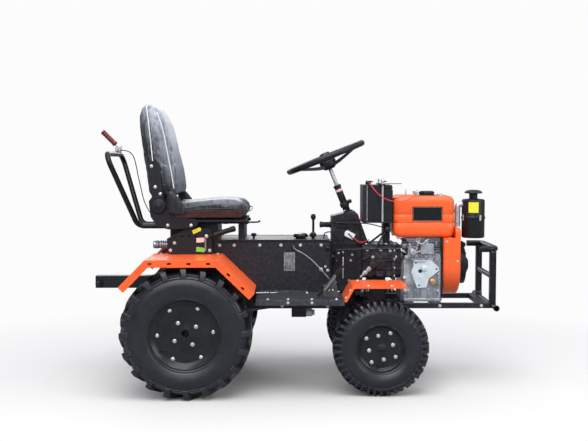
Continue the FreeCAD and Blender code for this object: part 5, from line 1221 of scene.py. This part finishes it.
def engine_details():
    face = 115
    near, stay = -face, -face - 12.4
    # joint faces, bosses, ribs and covers of the crankcase, on both sides
    for side in BOTH:
        y = side * face
        box((700, y - 8, 412), (712, y + 8, 632))
        box((566, y - 7, 604), (700, y + 7, 618))
        for x, z, r in BOSSES:
            lathe([(r, 0), (r, 7), (r - 2.5, 9)], 20, (x, y - side * 2, z), (0, side, 0))
        for k in range(4):
            box((538 + k * 8, y - 5, 470 + k * 6), (541 + k * 8, y + 5.5, 600 - k * 10))
        box((552, y - 6, 624), (600, y + 10, 672))
        box((612, y - 20, 640), (676, y + 4, 690))
        lathe([(20, 0), (20, 12), (16, 16), (16, 22), (12, 24)], 32, (576, y - side * 2, 648), (0, side, 0))
    box((548, -92, 700), (712, 92, 716))
    box((560, -60, 690), (706, 60, 718))
    piece("engine_castings", ALUMINIUM, "engine_aluminium", bevel=2.0, angle=40, segments=3)
    for side in BOTH:
        box((712.5, side * 120 - 8, 424), (721.6, side * 120 + 8, 716))
    for z in (700, 660, 632):
        box((530, -88, z - 1.4), (560, 88, z + 1.4))
    piece("engine_seal_band", PLASTIC, "black_paint", bevel=1.2)
    plate([(579, 608), (664, 608), (700, 575), (703, 557), (655, 520), (643, 476), (597, 472), (567, 551),
           (579, 581)], stay, 2.8)
    lathe([(13, 0), (13, 5), (11, 8), (6, 8.6)], 28, (630, stay + 0.2, 569), RIGHT)
    box((579, near - 20, 604), (640, near - 12, 608))
    piece("stay_plate", GALVANISED, "grey_steel", bevel=0.8)
    # Black discs on the plate's face stand in for its holes: painted shade, as no holes are cut.
    lathe([(8.8, 0.1), (8.8, 1.2), (6.5, 1.6)], 24, (611, stay, 556), RIGHT)
    for x, z in ((690, 566), (606, 486), (590, 596)):
        lathe([(4.2, 0), (4.2, 0.8), (3, 1)], 16, (x, stay, z), RIGHT)
    piece("stay_plate_hole_shades", CAST, "black_paint")
    lathe([(13, 0), (14.4, 1), (14.4, 8), (9, 10), (8.6, 15), (12.6, 18), (13, 22.8), (9, 24), (4, 24.4)], 28,
          (673, near, 503), RIGHT)
    for k in range(2):
        box((-10, -2.4, -1.8), (10, 2.4, 1.8), turned((673, near - 26, 503), 90 * k + 28.648, "Y"))
    piece("drain_cap", BRASS, "bright_fittings", bevel=0.5)
    for side in BOTH:
        side_bolts(side, [(x, z) for x, z, _ in BOSSES], face + 7, 5.2, 5)
        side_bolts(side, [(x, 413) for x in (548, 600, 652, 700)], face + 6, 5.4, 5)
        side_bolts(side, ((558, 630), (594, 630), (558, 666), (594, 666)), face + 10, 4, 4)
    # injector, its unions, the high-pressure pipe and a spring
    lathe([(11, 0), (11, 16), (14, 17), (14, 27), (8, 29), (8, 42), (5, 44)], 6, (600, -100, 676), (0.25, -0.2, 1))
    lathe([(9, 0), (9, 20), (12, 21), (12, 30), (6, 32)], 6, (648, -112, 676), (-0.2, -0.15, 1))
    lathe([(12, 0), (12, 12), (8, 14), (8, 30), (5, 31)], 24, (628, -108, 640), (0, -0.5, 1))
    tube(smooth_line([(648, -114, 704), (652, -122, 712), (640, -134, 706), (620, -136, 690), (600, -130, 694),
                      (590, -118, 706), (600, -110, 716)]), 2.6)
    tube(smooth_line([(560, -118, 690), (566, -128, 664), (584, -134, 650), (606, -132, 652), (620, -124, 664)]),
         2.4)
    coil((566, -122, 676), (612, -126, 628), 120, 10, 3.4, 1.2)
    piece("engine_unions", STEEL, "bare_steel", bevel=0.4, angle=45)
    # governor levers and the fuel filter
    tube(smooth_line([(660, -120, 664), (676, -126, 650), (684, -126, 628), (676, -122, 606)]), 3.0)
    box((548, -128, 668), (592, -124, 676))
    box((608, -131, 622), (616, -127, 668))
    lathe([(8, 0), (10, 3), (10, 22), (8, 25)], 24, (690, -116, 676), HIGH)
    lathe([(8, 0), (16, 2), (18, 5), (18, 20), (14, 26), (6, 28)], 32, (536, -92, 664), (0, -0.2, 1))
    piece("engine_levers", GREY_STEEL, "grey_steel", bevel=0.8, angle=45)
    # muffler's shell with its bands and outlet, on the far side
    muffler_y, muffler_z = 175, 660
    lathe([(30, -1), (39, 1.5), (41, 7), (41, 142), (39, 148), (30, 150)], 56, (559, muffler_y, muffler_z), FORE)
    for x in range(575, 684, 18):
        lathe([(40.6, 0), (42.6, 1.5), (42.6, 5.5), (40.6, 7)], 56, (x, muffler_y, muffler_z), FORE)
    lathe([(14.4, 0), (14.4, 66), (16.5, 66.5), (16.5, 71), (12.6, 71), (12.6, 40)], 32, (678, muffler_y, muffler_z),
          LEFT)
    piece("muffler_shell", CAST, "black_paint", replaces=("muffler",), angle=40)
    lathe([(17, 0), (17, 26)], 20, (629, 100, muffler_z), LEFT)
    box((606, 100, 636), (652, 106, 684))
    piece("muffler_flange", GREY_STEEL, "grey_steel", bevel=1.0)


body_details()
fender_details()
seat_details()
quadrant_details()
pillar_details()
gearbox_details()
engine_details()


# ---------------- floor, light and background
PAPER_WHITE = (0.975, 0.975, 0.98)
FLOOR_SEEN, FLOOR_BOUNCED = (0.62, 0.60, 0.585), (0.34, 0.34, 0.35)


def seen_directly(n):
    """One where the camera sees a surface, nought where the surface lights another."""
    path = n.add("LightPath").outputs
    return n.calc("MAXIMUM", path["Is Camera Ray"], path["Is Transmission Ray"])


def studio():
    mesh = bpy.data.meshes.new("floor")
    half = 40.0
    mesh.from_pydata([(x * half, y * half, 0) for x, y in ((-1, -1), (1, -1), (1, 1), (-1, 1))], [], [range(4)])
    floor = linked("floor", mesh)
    floor.location = (0, 0, -0.0005)
    made = bpy.data.materials.new("pale_floor")
    mesh.materials.append(made)
    n = Nodes(made, cleared=True)
    length = n.add("VectorMath", n.place())
    length.operation = "LENGTH"
    away = n.spread(length.outputs["Value"], 1.2, 2.6)
    seen = seen_directly(n)
    shade = n.add("BsdfDiffuse", Color=n.blend(seen, FLOOR_BOUNCED, FLOOR_SEEN))
    glow = n.add("Emission", Color=PAPER_WHITE)
    mixed = n.add("MixShader", n.times(away, seen), shade.outputs[0], glow.outputs[0])
    n.add("OutputMaterial", mixed.outputs[0])

    world = bpy.data.worlds.new("studio")
    bpy.context.scene.world = world
    n = Nodes(world, cleared=True)
    sky = n.split(n.add("TexCoord").outputs["Generated"])["Z"]
    soft = n.add("Background", Color=(0.86, 0.92, 1.0), Strength=n.spread(sky, 0.0, 0.75, 0.24, 1.05))
    white = n.add("Background", Color=PAPER_WHITE, Strength=1.0)
    mixed = n.add("MixShader", seen_directly(n), soft.outputs[0], white.outputs[0])
    n.add("OutputWorld", mixed.outputs[0])

    for name, place, size, power, aim in (
            ("key", (-1.0, -4.4, 3.5), 3.4, 130, (0, 0, 0.6)), ("side", (3.8, -2.4, 2.2), 2.2, 60, (0.3, 0, 0.6)),
            ("top", (0.0, -1.6, 4.4), 3.2, 120, (0, 0, 0.4)), ("rear", (-1.0, 4.2, 2.6), 2.6, 60, (0, 0, 0.6))):
        data = bpy.data.lights.new(name, "AREA")
        data.shape, data.size, data.energy = "SQUARE", size, power
        lamp = linked(name, data)
        lamp.location = place
        lamp.rotation_euler = (Vector(aim) - Vector(place)).to_track_quat("-Z", "Y").to_euler()


studio()
bpy.context.scene.view_settings.view_transform = "Standard"
